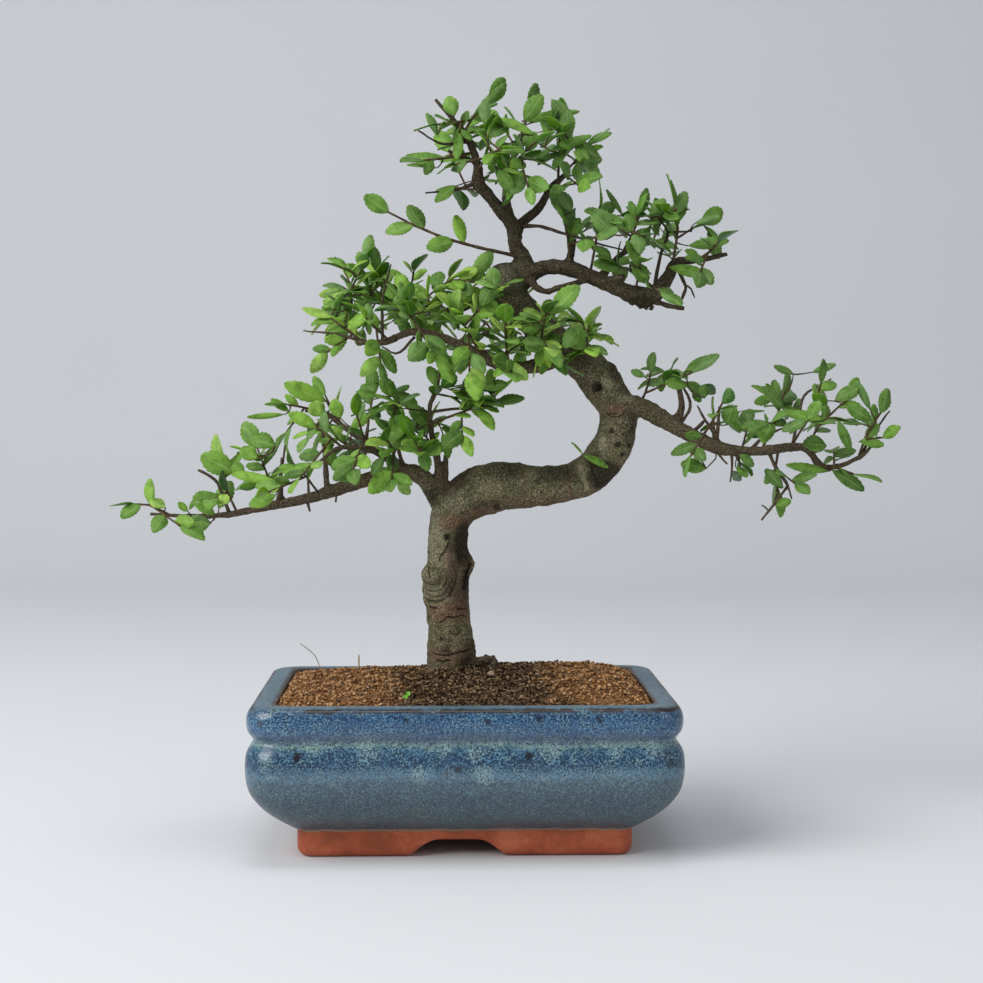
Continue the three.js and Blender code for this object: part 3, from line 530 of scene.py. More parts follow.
# bare stubs, round burls, and roots at the trunk's foot
stubs = [
    [(52, -3, 284.5, 2.2), (55, -4, 299.5, 1.5)], [(72, -6, 278.5, 2), (80, -8, 280.5, 1.4)],
    [
        (33, -1, 280.5, 2.6), (36, -7, 274.9, 1.7), (41.5, -9, 272.6, 1.5), (48, -9, 274.8, 1.4),
        (63, -7, 279, 1.6),
    ],
    [(80, -7, 271, 2.8), (85, -8, 266.8, 1.4)],
    [(86, -7, 270, 3.4), (91, -8, 266.5, 2.6), (94.5, -8, 264.5, 1.2)],
    [(91, -8, 269.5, 2), (100, -9, 266.3, 1.3), (110, -9, 264.3, 1)],
    [(105.5, -9, 265.3, 1), (109.3, -9, 271.1, 0.9), (110.2, -9, 276.1, 0.9), (105.5, -8.5, 286, 1)],
    [
        (-1, -3, 150, 1.6), (0.4, -3, 141.5, 2.8), (1.9, -3, 136.8, 3.5), (0, -3, 131, 3.1),
        (-0.6, -3, 124, 2.3), (-1, -3, 118, 1.2),
    ],
    [(-10, -4, 173.5, 2.6), (-9, -6, 191.5, 1.2)], [(-68, -10, 173.5, 1.6), (-70, -12, 205.5, 0.8)],
    [(-92, -14, 167.5, 1.2), (-90, -15, 190.5, 0.7)],
    [(-116, -15, 162.5, 1), (-122, -16, 178.5, 0.9), (-131, -17, 184.5, 0.7)],
    [(126, -12, 195.5, 1.2), (127, -13, 215.5, 0.7)], [(113, -9, 201.5, 1.2), (120, -9, 208.5, 0.8)],
    [(8, -10, 335.5, 1.6), (-8, -12, 341.5, 0.8)],
]
burls = [
    (-14.6, -2, 131.5, 6.6), (20, 0, 278.5, 9.4), (72, -5, 233.5, 5.2), (80, -3, 218.5, 5),
    (74, -6, 217, 5.6), (7, -5, 177.5, 7.6),
]
roots = [
    [
        (2, 2, 85.5, 4), (7, 0, 87, 2.4), (10.5, -1, 88, 2.1), (13.8, -1, 88, 2.3),
        (16, -1, 84, 1.9), (16.5, -1, 78, 1.3),
    ],
    [(-10, 2, 85, 5), (-18, -5, 77.5, 3), (-24, -10, 72.5, 1.6)],
]
# thin bare twigs and spikes that only show close up
bareTwigs = [
    [(-90, -14, 167, 0.8), (-90.5, -12, 180, 0.7), (-88.5, -12, 196.5, 0.5)],
    [(-77, -12, 171, 0.8), (-77.5, -12, 184, 0.5)], [(-63, -10, 175, 0.8), (-63.5, -13, 168.5, 0.5)],
    [(-78, -12, 170, 0.9), (-76.5, -12, 163.5, 0.6)],
    [(-30, -5, 184, 1.2), (-34, -16, 203, 0.8), (-34, -16, 219, 0.5)],
    [(-17, -18, 213, 0.8), (-4.5, -16, 214.5, 0.7), (5.5, -15, 214.5, 0.6), (16.5, -14, 215, 0.4)],
    [(-49, -36, 247, 0.9), (-60, -37, 250, 0.7), (-77.5, -36, 252, 0.4)],
    [(-39.5, -36, 247, 0.9), (-39.5, -34, 266.5, 0.7), (-35.5, -33, 284, 0.4)],
    [(-24, -36, 249, 0.8), (-32, -37, 241, 0.6), (-40, -36, 244.5, 0.4)],
    [(95, -8, 274, 1), (98, -9, 292, 0.8), (101.5, -8, 302.5, 0.6), (95, -8, 311, 0.4)],
    [(101.5, -8, 302.5, 0.6), (113.5, -8, 303, 0.4)],
    [(110, -9, 276, 0.6), (113, -9, 274, 0.5), (115, -9, 269.5, 0.3)],
    [(125, -12, 196, 0.9), (124, -13, 210, 0.7), (123.5, -14, 220.5, 0.5)],
    [(124, -12, 195.5, 0.9), (131, -14, 187, 0.5)],
    [(133, -13, 194, 0.8), (133.5, -14, 186, 0.7), (132.5, -14, 178, 0.4)],
    [
        (151.5, -15, 193, 1.1), (156, -14, 184, 0.9), (161, -14, 177, 0.8), (159, -14, 173, 0.7),
        (151.5, -14, 163, 0.6), (148.5, -14, 159, 0.5),
    ],
    [(161, -14, 177, 0.6), (163.5, -14, 169.5, 0.4)], [(152, -14, 164, 0.5), (148, -15, 166.5, 0.35)],
    [(109, -8, 208, 0.9), (113, -10, 216.5, 0.8), (106, -12, 231.5, 0.5)],
    [(129, -13, 196, 0.8), (120, -12, 209, 0.7), (116, -12, 216, 0.4)],
    [(143, -14, 194.5, 0.9), (150, -12, 201, 0.8), (160, -12, 205, 0.5)],
    [(163, -16, 196, 0.9), (167, -12, 210, 0.8), (170, -12, 221.5, 0.6), (183, -12, 229.5, 0.4)],
    [(196, -20, 191, 0.8), (205, -14, 204, 0.6), (212.5, -12, 213.5, 0.4)],
    [(7, -10, 326, 1.2), (-4.5, -12, 322.5, 0.8), (-19, -12, 321, 0.4)],
    [(2, -11, 346, 0.9), (-11, -12, 345, 0.7), (-22.5, -12, 351.5, 0.4)],
    [
        (-2, -6.5, 146, 0.4), (1.4, -7, 141.5, 0.8), (4, -6.2, 138.3, 1.1), (4.6, -6, 136.2, 0.9),
        (2.4, -7.5, 131.5, 0.8), (0.6, -8, 124, 0.4),
    ],
    [(30, 3, 308, 1.2), (40, -6, 317.5, 0.9), (52.5, -8, 332.5, 0.5)],
    [(29, 2, 306, 1.2), (38, -8, 305, 0.9), (50, -12, 301, 0.8), (78.5, -12, 293, 0.4)],
]
wood = dict(
    trunkSides=24, boughSides=12, stubSides=10, twigSides=7, rowSpacing=2.4, twigSpacing=3, barkSpacing=1.2,
    voxel=0.85, thickFrom=1.35, thinTo=1.95, softening=0.6, softenings=4, barkRun=37.0, growFrom=4.6,
    rings=[(88, 0.45), (91.5, 0.55), (97, 0.25), (108.5, 0.45), (110.5, 0.3), (114.6, 0.6), (141, 0.2)],
    fold=(-15, 131, 11, 13.5), collar=(75, 214, 7), ragged=[(89, 267, 11), (13, 88, 9)],
    knotHole=(66.5, -10.5, 225, 2.2),
    pits=[
        (73.2, -10, 203.4, 1.1), (76.9, -11, 196.4, 1.5), (82.6, -9, 196.2, 1.1), (78.7, -10, 191.7, 0.9),
        (83.4, -8, 204.7, 0.9), (16.4, -14, 165.2, 1.3), (-8.5, -8, 150, 1.5), (-5.5, -8, 143.6, 1.1),
    ],
)


def framesAlong(points, count):
    # middle, two crossing directions, the way along and the radius for each row of a tube
    rows = []
    across = np.array((0, 1, 0))
    for step in range(count + 1):
        t = step / count
        here = curveAt(points, t)
        ahead = curveAt(points, min(1, t + 0.002)) - curveAt(points, max(0, t - 0.002))
        along = ahead[:3] / np.linalg.norm(ahead[:3])
        if step == 0:
            across = np.cross(across, along)
        across = across - along * across.dot(along)
        across = across / np.linalg.norm(across)
        rows.append((here[:3], across, np.cross(along, across), along, max(0.15, here[3])))
    return rows


def lengthOf(points):
    return sum(math.dist(a[:3], b[:3]) for a, b in zip(points, points[1:]))


def rowsOf(points, spacing, least=3):
    return framesAlong(points, max(least, round(lengthOf(points) / spacing)))


def tubeInto(bm, rows, sides):
    # each tube is skinned by itself and then poured into the whole
    turns = [2 * math.pi * side / sides for side in range(sides)]
    rings = []
    for middle, across, over, _, radius in rows:
        ways = [across * math.cos(turn) + over * math.sin(turn) for turn in turns]
        rings.append([place(middle + radius * way) for way in ways])
    pourInto(bm, loft(rings))


# marks on the bark's front: x, z, half width, half height and strength
barkMarks = dict(
    rusty=[
        (-7, 112.5, 14, 6, 0.85), (-8, 90.5, 14, 5, 0.65), (-4, 157.5, 9, 4.5, 1.05),
        (-8.5, 139, 2.2, 6, 0.7), (8, 162, 9, 4, 0.8), (52.6, 176, 0.8, 9, 0.9), (76, 214.5, 5, 4.6, 0.9),
        (60, 227, 4.5, 8, 0.35), (57, 240, 9, 9, 0.3), (85, 196, 4, 12, 0.3), (22, 280, 8, 9, 0.1),
        (76, 280, 4, 2.2, 0.2), (34, 168, 20, 4, 0.55), (-11, 118, 8, 4, 0.3),
    ],
    pale=[
        (-8, 90.5, 14, 5, 0.1), (-8.5, 139, 2.2, 6, 0.6), (-14, 149, 6, 16, 1), (-4, 168, 8, 8, 0.5),
        (57.8, 184, 1.5, 3.4, 1.1), (59.4, 180, 1.5, 3.4, 1.1), (61, 176, 1.5, 3.2, 1.1),
        (69, 196, 2, 7, 1.1), (80, 219.6, 5, 2.6, 0.9), (76, 214.5, 5, 4.6, 0.3),
        (71.8, 227.4, 3.6, 3.2, 1.1), (63.2, 231.5, 1.5, 2.4, 0.8), (-16, 122, 8, 5, 0.6),
        (-18, 130, 5, 7, 0.6), (22, 280, 8, 9, 0.8), (76, 280, 4, 2.2, 1), (34, 182, 3.6, 3, 0.9),
        (-11, 118, 8, 4, 0.6),
    ],
    # the dark marks are dark bark, and partly painted shade: the small round ones darken the pits and the
    # knot hole, the two at x 0 and 1 the trunk's shaded right side by the stub and the gap beside it, and the
    # big one at the bend its shadow
    dark=[
        (2, 87, 6, 4, 0.9), (0, 147, 4.6, 12, 1.5), (1, 129, 3, 8, 0.9), (-16, 171, 4, 5, 0.8),
        (8, 162, 9, 4, 0.2), (70, 181.5, 8, 6.5, 2.4), (52.6, 176, 0.8, 9, 0.2), (65, 187, 4, 5, 1.2),
        (66.2, 225.4, 2.3, 2.5, 2.4), (76, 233, 5.5, 5.5, 0.9), (60, 227, 4.5, 8, 0.5),
        (57, 240, 9, 9, 0.7), (82.5, 205, 4.5, 8, 0.65), (73.4, 203.6, 1.2, 1.3, 1.6),
        (76.8, 196.6, 1.7, 1.4, 1.6), (82.4, 196.5, 1.1, 1.1, 1.6), (79, 191.8, 1, 1, 1.6),
        (16.3, 165.6, 1.6, 1.5, 1.7), (-8.4, 150.4, 1.8, 1.7, 1.7), (-11.3, 98.9, 1, 1.2, 1.5),
        (83.4, 204.7, 1, 1, 1.5), (85, 196, 4, 12, 0.4), (88, 268, 9, 5, 0.9), (22, 184, 17, 6, 0.75),
        (46, 182, 16, 6, 0.85), (34, 168, 20, 4, 0.15),
    ],
)
# pale ribs where the trunk turns level: the arc they follow, where they show, and how they look
ribs = dict(
    bulge=179.7, bend=0.058, first=7.5, last=21, low=171, high=188, spacing=2.2, pale=0.55, wander=1.5,
)
# x and z where each crack starts and ends on the front, and its width
barkCracks = [
    (-6.8, 148.5, -11.9, 141, 0.5), (-11.9, 141, -12.5, 138.6, 0.45), (-17.6, 135.2, -16.8, 130.1, 0.45),
    (-17.1, 114.4, -13.6, 114, 0.7), (-2.8, 113.9, 1.2, 114.5, 0.6), (-11.9, 107.5, -8.6, 109.4, 0.6),
    (-8.6, 110.2, -0.5, 110.6, 0.5), (-17.1, 91.7, -9.6, 90.3, 0.6), (-9.6, 90.3, 2.4, 93.3, 0.75),
    (-13.1, 87.7, -6.8, 88.3, 0.6), (2.9, 136, 0, 124.4, 1.1), (51.6, 186, 53.8, 170, 0.22),
    (63, 186.5, 66.5, 177, 0.4),
]
# x, z, radius, line width and the height below which each ring is drawn
barkScars = [(-4.5, 103.5, 2.5, 0.35, 104.6), (75.5, 215, 4.4, 0.5, 213.5), (75, 214.5, 2.6, 0.4, 213)]


def barkPlaces():
    # every centreline, sampled finely, so that a bark point can find the wood it belongs to
    samples = []
    for number, points in enumerate([*boughs.values(), *stubs, *roots]):
        reach = wood["barkRun"] * number
        rows = rowsOf(points, wood["barkSpacing"])
        for last, row in zip(rows[:1] + rows, rows):
            reach += np.linalg.norm(row[0] - last[0])
            samples.append(row + (reach,))
    tree = kdtree.KDTree(len(samples))
    for index, sample in enumerate(samples):
        tree.insert(Vector(sample[0]), index)
    tree.balance()
    return samples, tree


barkSamples, barkTree = barkPlaces()


def barkAt(point):
    # the nearest wood's radius, and the place on its surface as two crossing measures and one along
    found = barkTree.find_n(Vector(point), 6)
    _, nearest, _ = min(found, key=lambda one: one[2] - barkSamples[one[1]][4])
    middle, across, over, along, radius, reach = barkSamples[nearest]
    off = np.asarray(point, float) - middle
    return radius, Vector((off.dot(across), off.dot(over), reach + off.dot(along)))


def barkHeight(point, radius, surface):
    # how far the bark stands out or in, in millimetres
    x, y, z = point
    spot = Vector(point)

    def grained(across, along):
        return bumps(surface.x * across, surface.y * across, along)

    size = min(1.0, radius / 9)
    height = noise.noise(spot * 0.075) + 0.7 * noise.noise(spot * 0.2) + 0.14 * noise.noise(spot * 1.05)
    height = size * (height + 0.2 * grained(0.14, surface.z * 0.8))
    if radius < 7:  # boughs have long ridges and flakes
        ridge = abs(grained(0.75, surface.z * 0.22))
        height += min(1, (7 - radius) / 2.5) * size * (1.7 * ridge - 0.3) + 0.2 * noise.noise(spot * 0.6)
    for raggedX, raggedZ, reach in wood["ragged"]:
        away = math.hypot(x - raggedX, z - raggedZ) / reach
        if away < 1 and radius < 9:
            height += 1.6 * (1 - away) * noise.noise(spot * 0.5 + Vector((3, 1, 0)))
    if radius > 8 and z < 160:
        wander = 2.2 * grained(0.2, z * 0.02)
        for level, depth in wood["rings"]:
            height -= depth * (0.35 + 1.3 * abs(grained(0.12, level))) * bell(z - level + wander, 0.7)
    foldX, foldZ, foldWide, foldHigh = wood["fold"]
    shell = math.hypot((x - foldX) / foldWide, (z - foldZ) / foldHigh)
    if shell < 1.15 and y < 4 and z < foldZ + 3:  # nested folds that sag like a sling
        height += 0.9 * max(0, 1 - shell) - 0.7 * bell(shell - 1.02, 0.08)
    collarX, collarZ, reach = wood["collar"]
    away = math.hypot(x - collarX, (z - collarZ) * 1.3)
    if away < reach and y < -2:
        height += 0.4 * math.cos(1.9 * away + 0.7 * math.atan2(z - collarZ, x - collarX)) * (1 - away / reach)
    *middle, reach = wood["knotHole"]
    away = math.dist(point, middle) / reach
    if away < 3:
        height += 0.8 * bell(away - 1.6, 0.45) - 2.4 * bell(away, 1)
    for *middle, reach in wood["pits"]:
        away = math.dist(point, middle) / reach
        if away < 2.5:
            height += 0.25 * bell(away - 1.5, 0.4) - 1.3 * bell(away, 1)
    return height


def dressBark(piece, depth):
    # pushes the bark out and in, and keeps what the bark's colour needs
    mesh = piece.data
    count = len(mesh.vertices)
    spots, outward = np.zeros(count * 3), np.zeros(count * 3)
    mesh.vertices.foreach_get("co", spots)
    mesh.vertex_normals.foreach_get("vector", outward)
    spots, outward = spots.reshape(-1, 3), outward.reshape(-1, 3)
    local = spots * 1000 - np.array(potCentre) * 1000
    grainPlace, girth, hollow = np.zeros((count, 3)), np.zeros(count), np.zeros(count)
    for index in range(count):
        radius, surface = barkAt(local[index])
        grainPlace[index] = surface
        girth[index] = radius
        hollow[index] = barkHeight(tuple(local[index]), radius, surface)
    spots += outward * hollow[:, None] * depth / 1000
    mesh.vertices.foreach_set("co", spots.ravel())

    x, z, rise = local[:, 0], local[:, 2], outward[:, 2]
    inFront = np.clip(0.5 - 1.4 * outward[:, 1], 0, 1)
    marks = np.zeros((count, 4))
    rusty, pale, dark = marks[:, 0], marks[:, 1], marks[:, 2]
    for tone, rows in ((rusty, barkMarks["rusty"]), (pale, barkMarks["pale"]), (dark, barkMarks["dark"])):
        for markX, markZ, wide, high, strength in rows:
            inside = inFront * np.exp(-(((x - markX) / wide) ** 2 + ((z - markZ) / high) ** 2) ** 1.5)
            tone[:] = np.maximum(tone, strength * inside)
    # pale ribs across the grain where the trunk turns level, and darker bark higher up
    arc = x + ribs["bend"] * (z - ribs["bulge"]) ** 2
    arc += ribs["wander"] * np.array([noise.noise(Vector(spot) * 0.16) for spot in local])
    ribbed = (arc > ribs["first"]) & (arc < ribs["last"]) & (z > ribs["low"]) & (z < ribs["high"])
    rib = np.clip(np.cos(2 * math.pi * arc / ribs["spacing"]), 0, 1) * inFront * ribbed
    pale[:] = np.maximum(pale, ribs["pale"] * rib)
    dark[:] = np.maximum(dark * (1 - 0.8 * rib), 0.62 * np.clip((z - 236) / 46, 0, 1))
    # rust below and dirt on top of the thick wood
    thick = np.clip((girth - 6) / 3, 0, 1)
    rusty[:] = np.maximum(rusty, thick * 0.75 * np.clip(-rise - 0.15, 0, 1))
    dark[:] = np.maximum(dark, thick * 1.1 * np.clip(rise - 0.55, 0, 1))

    for name, kind, field, values in (
        ("grainPlace", "FLOAT_VECTOR", "vector", grainPlace), ("girth", "FLOAT", "value", girth),
        ("hollow", "FLOAT", "value", hollow), ("marks", "FLOAT_COLOR", "color", marks),
    ):
        mesh.attributes.new(name, kind, "POINT").data.foreach_set(field, values.ravel())
    for polygon in mesh.polygons:
        polygon.use_smooth = True
    mesh.update()


def makeBark():
    finish = Finish("elmBark", 0.85, 0.22)
    grainPlace = finish.attribute("grainPlace", "Vector")
    girth, hollow = finish.attribute("girth"), finish.attribute("hollow")
    rusty, pale, dark = finish.channels(finish.attribute("marks", "Color"))
    mottle = finish.grain(1.3, 4, 0.75, grainPlace)
    lines = finish.grain(1.1, 3, 0.6, finish.vector("MULTIPLY", grainPlace, (0.2, 0.2, 1.2)))
    broad = finish.grain(0.12, 3, 0.6, grainPlace)
    flecks = finish.grain(2.4, 2, 0.6, grainPlace)
    uneven = finish.stray(1.6, 0.4, 5, 0.75, grainPlace)

    # cracks, folds and scars are drawn on the front view with a little wander, and darkened as painted shade
    # in these creases
    local = finish.vector("MULTIPLY", finish.vector("SUBTRACT", finish.where, potCentre), (1000, 1000, 1000))
    front = finish.span(finish.axis(1, local), 1.5, -2.5)
    wander = finish.vector("SUBTRACT", finish.grain(150, 2, 0.5, output=1), (0.5, 0.5, 0.5))
    strayed = finish.vector("ADD", local, finish.vector("MULTIPLY", wander, (4, 0, 4)))
    flat = finish.vector("MULTIPLY", strayed, (1, 0, 1))
    groove = 0.0
    for startX, startZ, endX, endZ, width in barkCracks:
        reach = Vector((endX - startX, 0, endZ - startZ))
        away = finish.vector("SUBTRACT", flat, (startX, 0, startZ))
        along = finish.vector("DOT_PRODUCT", away, reach, "Value")
        part = finish.maths("DIVIDE", along, reach.length_squared, True)
        spare = finish.vector("DISTANCE", away, finish.vector("MULTIPLY", part, reach), "Value")
        groove = finish.maths("MAXIMUM", groove, finish.span(spare, width * 0.25, width, 1, 0))
    for x, z, radius, width, top in barkScars:
        spare = abs(finish.vector("DISTANCE", flat, (x, 0, z), "Value") - radius)
        below = finish.span(finish.axis(2, flat), top, top - 1.2)
        groove = finish.maths("MAXIMUM", groove, finish.span(spare, width * 0.2, width, 0.85, 0) * below)
    foldX, foldZ, foldWide, foldHigh = wood["fold"]
    fromFold = finish.vector("SUBTRACT", flat, (foldX, 0, foldZ))
    inFolds = finish.vector("DIVIDE", fromFold, (foldWide, 1, foldHigh))
    shell = finish.vector("LENGTH", inFolds, output="Value")
    rows = abs(finish.maths("FRACT", shell * 5 + 0.5) - 0.5)
    sling = finish.span(rows, 0.03, 0.16, 1, 0) * finish.span(shell, 1.06, 1.02)
    sling = sling * finish.span(shell, 0.28, 0.45) * finish.span(finish.axis(2, flat), foldZ + 2, foldZ - 3)
    groove = finish.maths("MAXIMUM", groove, sling * 0.8) * front

    sharp = finish.span(mottle, 0.38, 0.62)
    base = finish.ramp(mottle, [
        (0.36, 44, 40, 29), (0.44, 80, 75, 54), (0.51, 112, 106, 78), (0.57, 144, 138, 106),
        (0.64, 200, 194, 156),
    ])
    for pattern, low, high, amount, *colour in (
        (broad, 0.46, 0.62, 0.5, 84, 87, 58), (broad, 0.44, 0.34, 0.45, 134, 116, 92),
        (lines, 0.55, 0.68, 0.4, 58, 52, 40), (flecks, 0.55, 0.64, 0.6, 46, 41, 32),
        (flecks, 0.42, 0.34, 0.36, 184, 177, 150),
    ):
        base = finish.blend(finish.span(pattern, low, high, 0, amount), base, paint(*colour))
    twigTone = finish.blend(sharp, paint(54, 44, 36), paint(112, 97, 78))
    base = finish.blend(finish.span(girth, 7, 2.4, 0, 0.9), base, twigTone)
    # the dark marks carry painted shade in the pits, the knot hole, by the stub and at the bend, besides dark
    # bark
    for mark, low, amount, deep, bright in (
        (pale, 0.15, 0.6, (92, 90, 64), (212, 206, 170)), (rusty, 0.1, 0.66, (76, 48, 36), (164, 124, 100)),
        (dark, 0.1, 0.86, (14, 12, 10), (62, 56, 44)),
    ):
        tone = finish.blend(sharp, paint(*deep), paint(*bright))
        base = finish.blend(finish.span(mark + uneven, low, 0.95, 0, amount), base, tone)
    # painted shade: bark that sinks in more than 0.4 mm, in pits, rings and the knot hole, is darkened
    # towards black brown
    base = finish.blend(finish.span(hollow, -0.4, -1.2, 0, 0.85), base, paint(30, 26, 20))
    # painted shade: the cracks, scars and fold rows are darkened
    finish.set("Base Color", finish.blend(groove * 0.85, base, paint(30, 23, 18)))
    finish.relief(mottle + lines * 0.8 - groove * 1.6, 0.8, 0.0008)
    return finish


def knotted(row):
    # a row of a twig, shifted and swollen a little
    middle, across, over, along, radius = row
    spot = Vector(middle)
    shift = np.array([noise.noise(spot * 0.21 + Vector(off)) for off in ((0, 0, 0), (5, 1, 3), (2, 8, 4))])
    return middle + 0.4 * shift, across, over, along, radius * (1 + 0.3 * noise.noise(spot * 0.55))


def makeWood():
    solid = bmesh.new()
    lines = [(points, wood["boughSides"]) for points in boughs.values()]
    lines[0] = (boughs["trunk"], wood["trunkSides"])
    lines += [(points, wood["stubSides"]) for points in stubs + roots]
    for points, sides in lines:
        thick = [row for row in rowsOf(points, wood["rowSpacing"]) if row[4] > wood["thickFrom"]]
        if len(thick) > 2:
            tubeInto(solid, thick, sides)
    for x, y, z, radius in burls:
        knob = bmesh.ops.create_icosphere(solid, subdivisions=3, radius=radius / 1000)["verts"]
        bmesh.ops.translate(solid, vec=place((x, y, z)), verts=knob)
    piece = finishPiece("trunkAndBoughs", solid, [barkFinish], ["tree_wood"])
    remesh = piece.modifiers.new("join", "REMESH")
    remesh.mode = "VOXEL"
    remesh.voxel_size = wood["voxel"] / 1000
    soften = piece.modifiers.new("soften", "SMOOTH")
    soften.factor = wood["softening"]
    soften.iterations = wood["softenings"]
    applyModifiers(piece)
    dressBark(piece, 1.0)

    fine = bmesh.new()
    for points in [*boughs.values(), *stubs, *bareTwigs]:
        thin = [row for row in rowsOf(points, wood["twigSpacing"], 4) if row[4] <= wood["thinTo"]]
        if len(thin) > 1:
            tubeInto(fine, [knotted(row) for row in thin], wood["twigSides"])
    dressBark(finishPiece("bareTwigs", fine, [barkFinish]), 0.0)


barkFinish = makeBark()
makeWood()
print("wood made")

# The leafy sprays
# by mass: the bough each spray grows from, how far along it, and where its shoots end
sprays = dict(
    apex=[
        ("leader", 0.85, (13, -9, 365.5), (-13, -18, 353.5)),
        ("leader", 0.76, (-20, -22, 335.5), (3, 6, 358.5)),
        ("leader", 0.67, (18, -34, 339.5), (-5, -36, 331.5)),
        ("leader", 0.54, (-6, 22, 326.5), (-7, 20, 345.5)),
        ("leaderMiddle", 0.69, (34, 12, 364.5), (19, 36, 363.5)),
        ("leaderMiddle", 0.41, (35, -24, 344.5), (14, 44, 354.5), (31, -28, 321.5)),
        ("leaderRight", 0.65, (63, -6, 345.5), (56, -22, 323.5)),
        ("leaderRight", 0.86, (49, 2, 359.5), (62, 32, 340.5)),
    ],
    upper_right=[
        ("upperRight", 0.28, (49, -12, 310.5), (65, -34, 297.5)),
        ("upperRight", 0.35, (67, -14, 314.5), (56, 22, 310.5)),
        ("upperRight", 0.5, (85, -36, 285.5), (95, -34, 270.5)),
        ("upperRightBack", 0.67, (90, 12, 313.5), (78, 40, 310.5)),
        ("upperRightBack", 0.96, (107, 38, 304.5), (100, 8, 308.5)),
        ("upperRight", 0.75, (104, -14, 314.5), (119, -4, 307.5)),
        ("upperRight", 0.89, (125, -22, 296.5), (114, -34, 280.5)),
    ],
    middle_left=[
        ("middleFront", 0.97, (-65, -30, 258.5), (-66, -40, 241.5)),
        ("middleFront", 0.83, (-47, -54, 257.5), (-40, -52, 236.5)),
        ("middleFront", 0.68, (-27, -50, 265.5), (-14, -56, 239.5), (-17, -24, 262.5)),
        ("middleBack", 0.89, (-64, 14, 271.5), (-71, 40, 261.5)),
        ("middleBack", 0.71, (-43, 24, 284.5), (-53, 54, 256.5)),
        ("middleBack", 0.58, (-25, 12, 284.5), (-31, 62, 263.5)),
        ("middleBack", 0.43, (-7, 14, 281.5), (-12, 52, 256.5)),
    ],
    centre=[
        ("middleFront", 0.41, (-6, -56, 262.5), (2, -58, 231.5), (8, -40, 263.5)),
        ("middleFront", 0.28, (19, -52, 255.5), (22, -60, 231.5)),
        ("middleFront", 0.16, (39, -44, 260.5), (39, -56, 243.5)),
        ("trunk", 0.82, (61, -26, 255.5), (59, -42, 243.5)),
        ("centreBack", 0.49, (28, 40, 275.5), (19, 60, 266.5)),
        ("centreBack", 0.75, (6, 56, 262.5), (-4, 52, 239.5)),
        ("trunk", 0.86, (63, 34, 257.5), (47, 48, 262.5)),
    ],
    lower_middle=[
        ("elbowTwig", 0.82, (-12, -26, 232.5), (3, -14, 218.5)),
        ("elbowTwig", 0.61, (16, -24, 216.5), (-1, -30, 201.5)),
        ("elbowTwig", 0.31, (-30, 10, 210.5), (-22, -38, 193.5)),
    ],
    lower_left=[
        ("lowerLeft", 0.95, (-163, -14, 167.5), (-138, -30, 157.5)),
        ("lowerLeft", 0.76, (-120, -14, 186.5), (-120, -40, 171.5)),
        ("lowerLeft", 0.62, (-104, 2, 195.5), (-110, 24, 174.5)),
        ("lowerLeft", 0.53, (-83, -38, 188.5), (-94, -44, 174.5)),
        ("lowerLeftUpper", 0.87, (-89, 12, 216.5), (-92, 38, 202.5)),
        ("lowerLeftUpper", 0.62, (-71, 24, 221.5), (-76, 50, 198.5)),
        ("lowerLeftUpper", 0.42, (-46, 12, 220.5), (-53, 44, 191.5), (-36, 36, 204.5)),
        ("lowerLeftFront", 0.72, (-72, -30, 205.5), (-78, -58, 181.5)),
        ("lowerLeftFront", 0.5, (-52, -38, 211.5), (-53, -56, 185.5)),
        ("lowerLeft", 0.29, (-37, -44, 199.5), (-35, -48, 180.5)),
    ],
    right=[
        ("right", 0.1, (94, -2, 232.5), (113, -18, 232.5)),
        ("rightUpper", 0.61, (103, 18, 233.5), (122, 24, 225.5)),
        ("right", 0.32, (126, -30, 217.5), (110, -34, 191.5)),
        ("right", 0.43, (140, 4, 181.5), (145, 8, 206.5)),
        ("right", 0.51, (160, -8, 221.5), (146, -42, 207.5)),
        ("right", 0.6, (176, -22, 227.5), (164, -46, 209.5)),
        ("right", 0.7, (194, 2, 219.5), (182, 20, 206.5)),
        ("right", 0.8, (191, -28, 182.5), (189, 8, 192.5)),
        ("right", 0.91, (207, -16, 212.5), (204, -34, 200.5)),
        ("right", 0.56, (157, -10, 172.5), (162, -32, 177.5)),
    ],
    inner_bend=[("trunk", 0.585, (64, -18, 196.5))],
)
# the long bare shoot at the left of the apex, and where its leaves stand along it
longShoot = [
    (28, -2, 290.5, 1.5), (7, -9, 294.5, 1.3), (-9, -12, 298.5, 1.2), (-24, -14, 304.5, 1),
    (-38, -15, 311.5, 0.8),
]
longShootPlaces = [0.16, 0.36, 0.44, 0.68, 0.76, 1]
# where fine twigs fill the crown: the middle, the half sizes and how many twigs grow there
leafClouds = dict(
    apex=[
        ((3, -8, 350), (22, 24, 14), 9), ((44, 4, 350), (20, 26, 12), 6), ((26, -4, 329), (30, 26, 12), 10),
    ],
    upper_right=[
        ((84, -8, 305), (36, 26, 12), 9), ((88, -8, 286), (30, 22, 9), 4),
        ((119, -10, 299), (12, 16, 8), 1),
    ],
    middle_left=[
        ((-46, -8, 276), (24, 30, 13), 13), ((-60, -6, 257), (17, 34, 12), 8),
        ((-30, -10, 262), (24, 36, 14), 15),
    ],
    centre=[
        ((5, -10, 269), (26, 36, 14), 14), ((28, -24, 249), (34, 30, 15), 18),
        ((60, -10, 249), (11, 30, 12), 5),
    ],
    lower_middle=[((4, -20, 221), (22, 20, 9), 7)],
    lower_left=[
        ((-28, -18, 198), (30, 30, 14), 10), ((-65, -8, 202), (34, 36, 17), 8),
        ((-98, -8, 189), (26, 30, 12), 2), ((-42, -6, 221), (20, 30, 8), 5),
    ],
    right=[
        ((104, -8, 230), (17, 22, 8), 1), ((122, -20, 205), (20, 22, 7), 1),
        ((166, -18, 218), (24, 26, 11), 3), ((190, -20, 204), (14, 22, 12), 1),
    ],
)
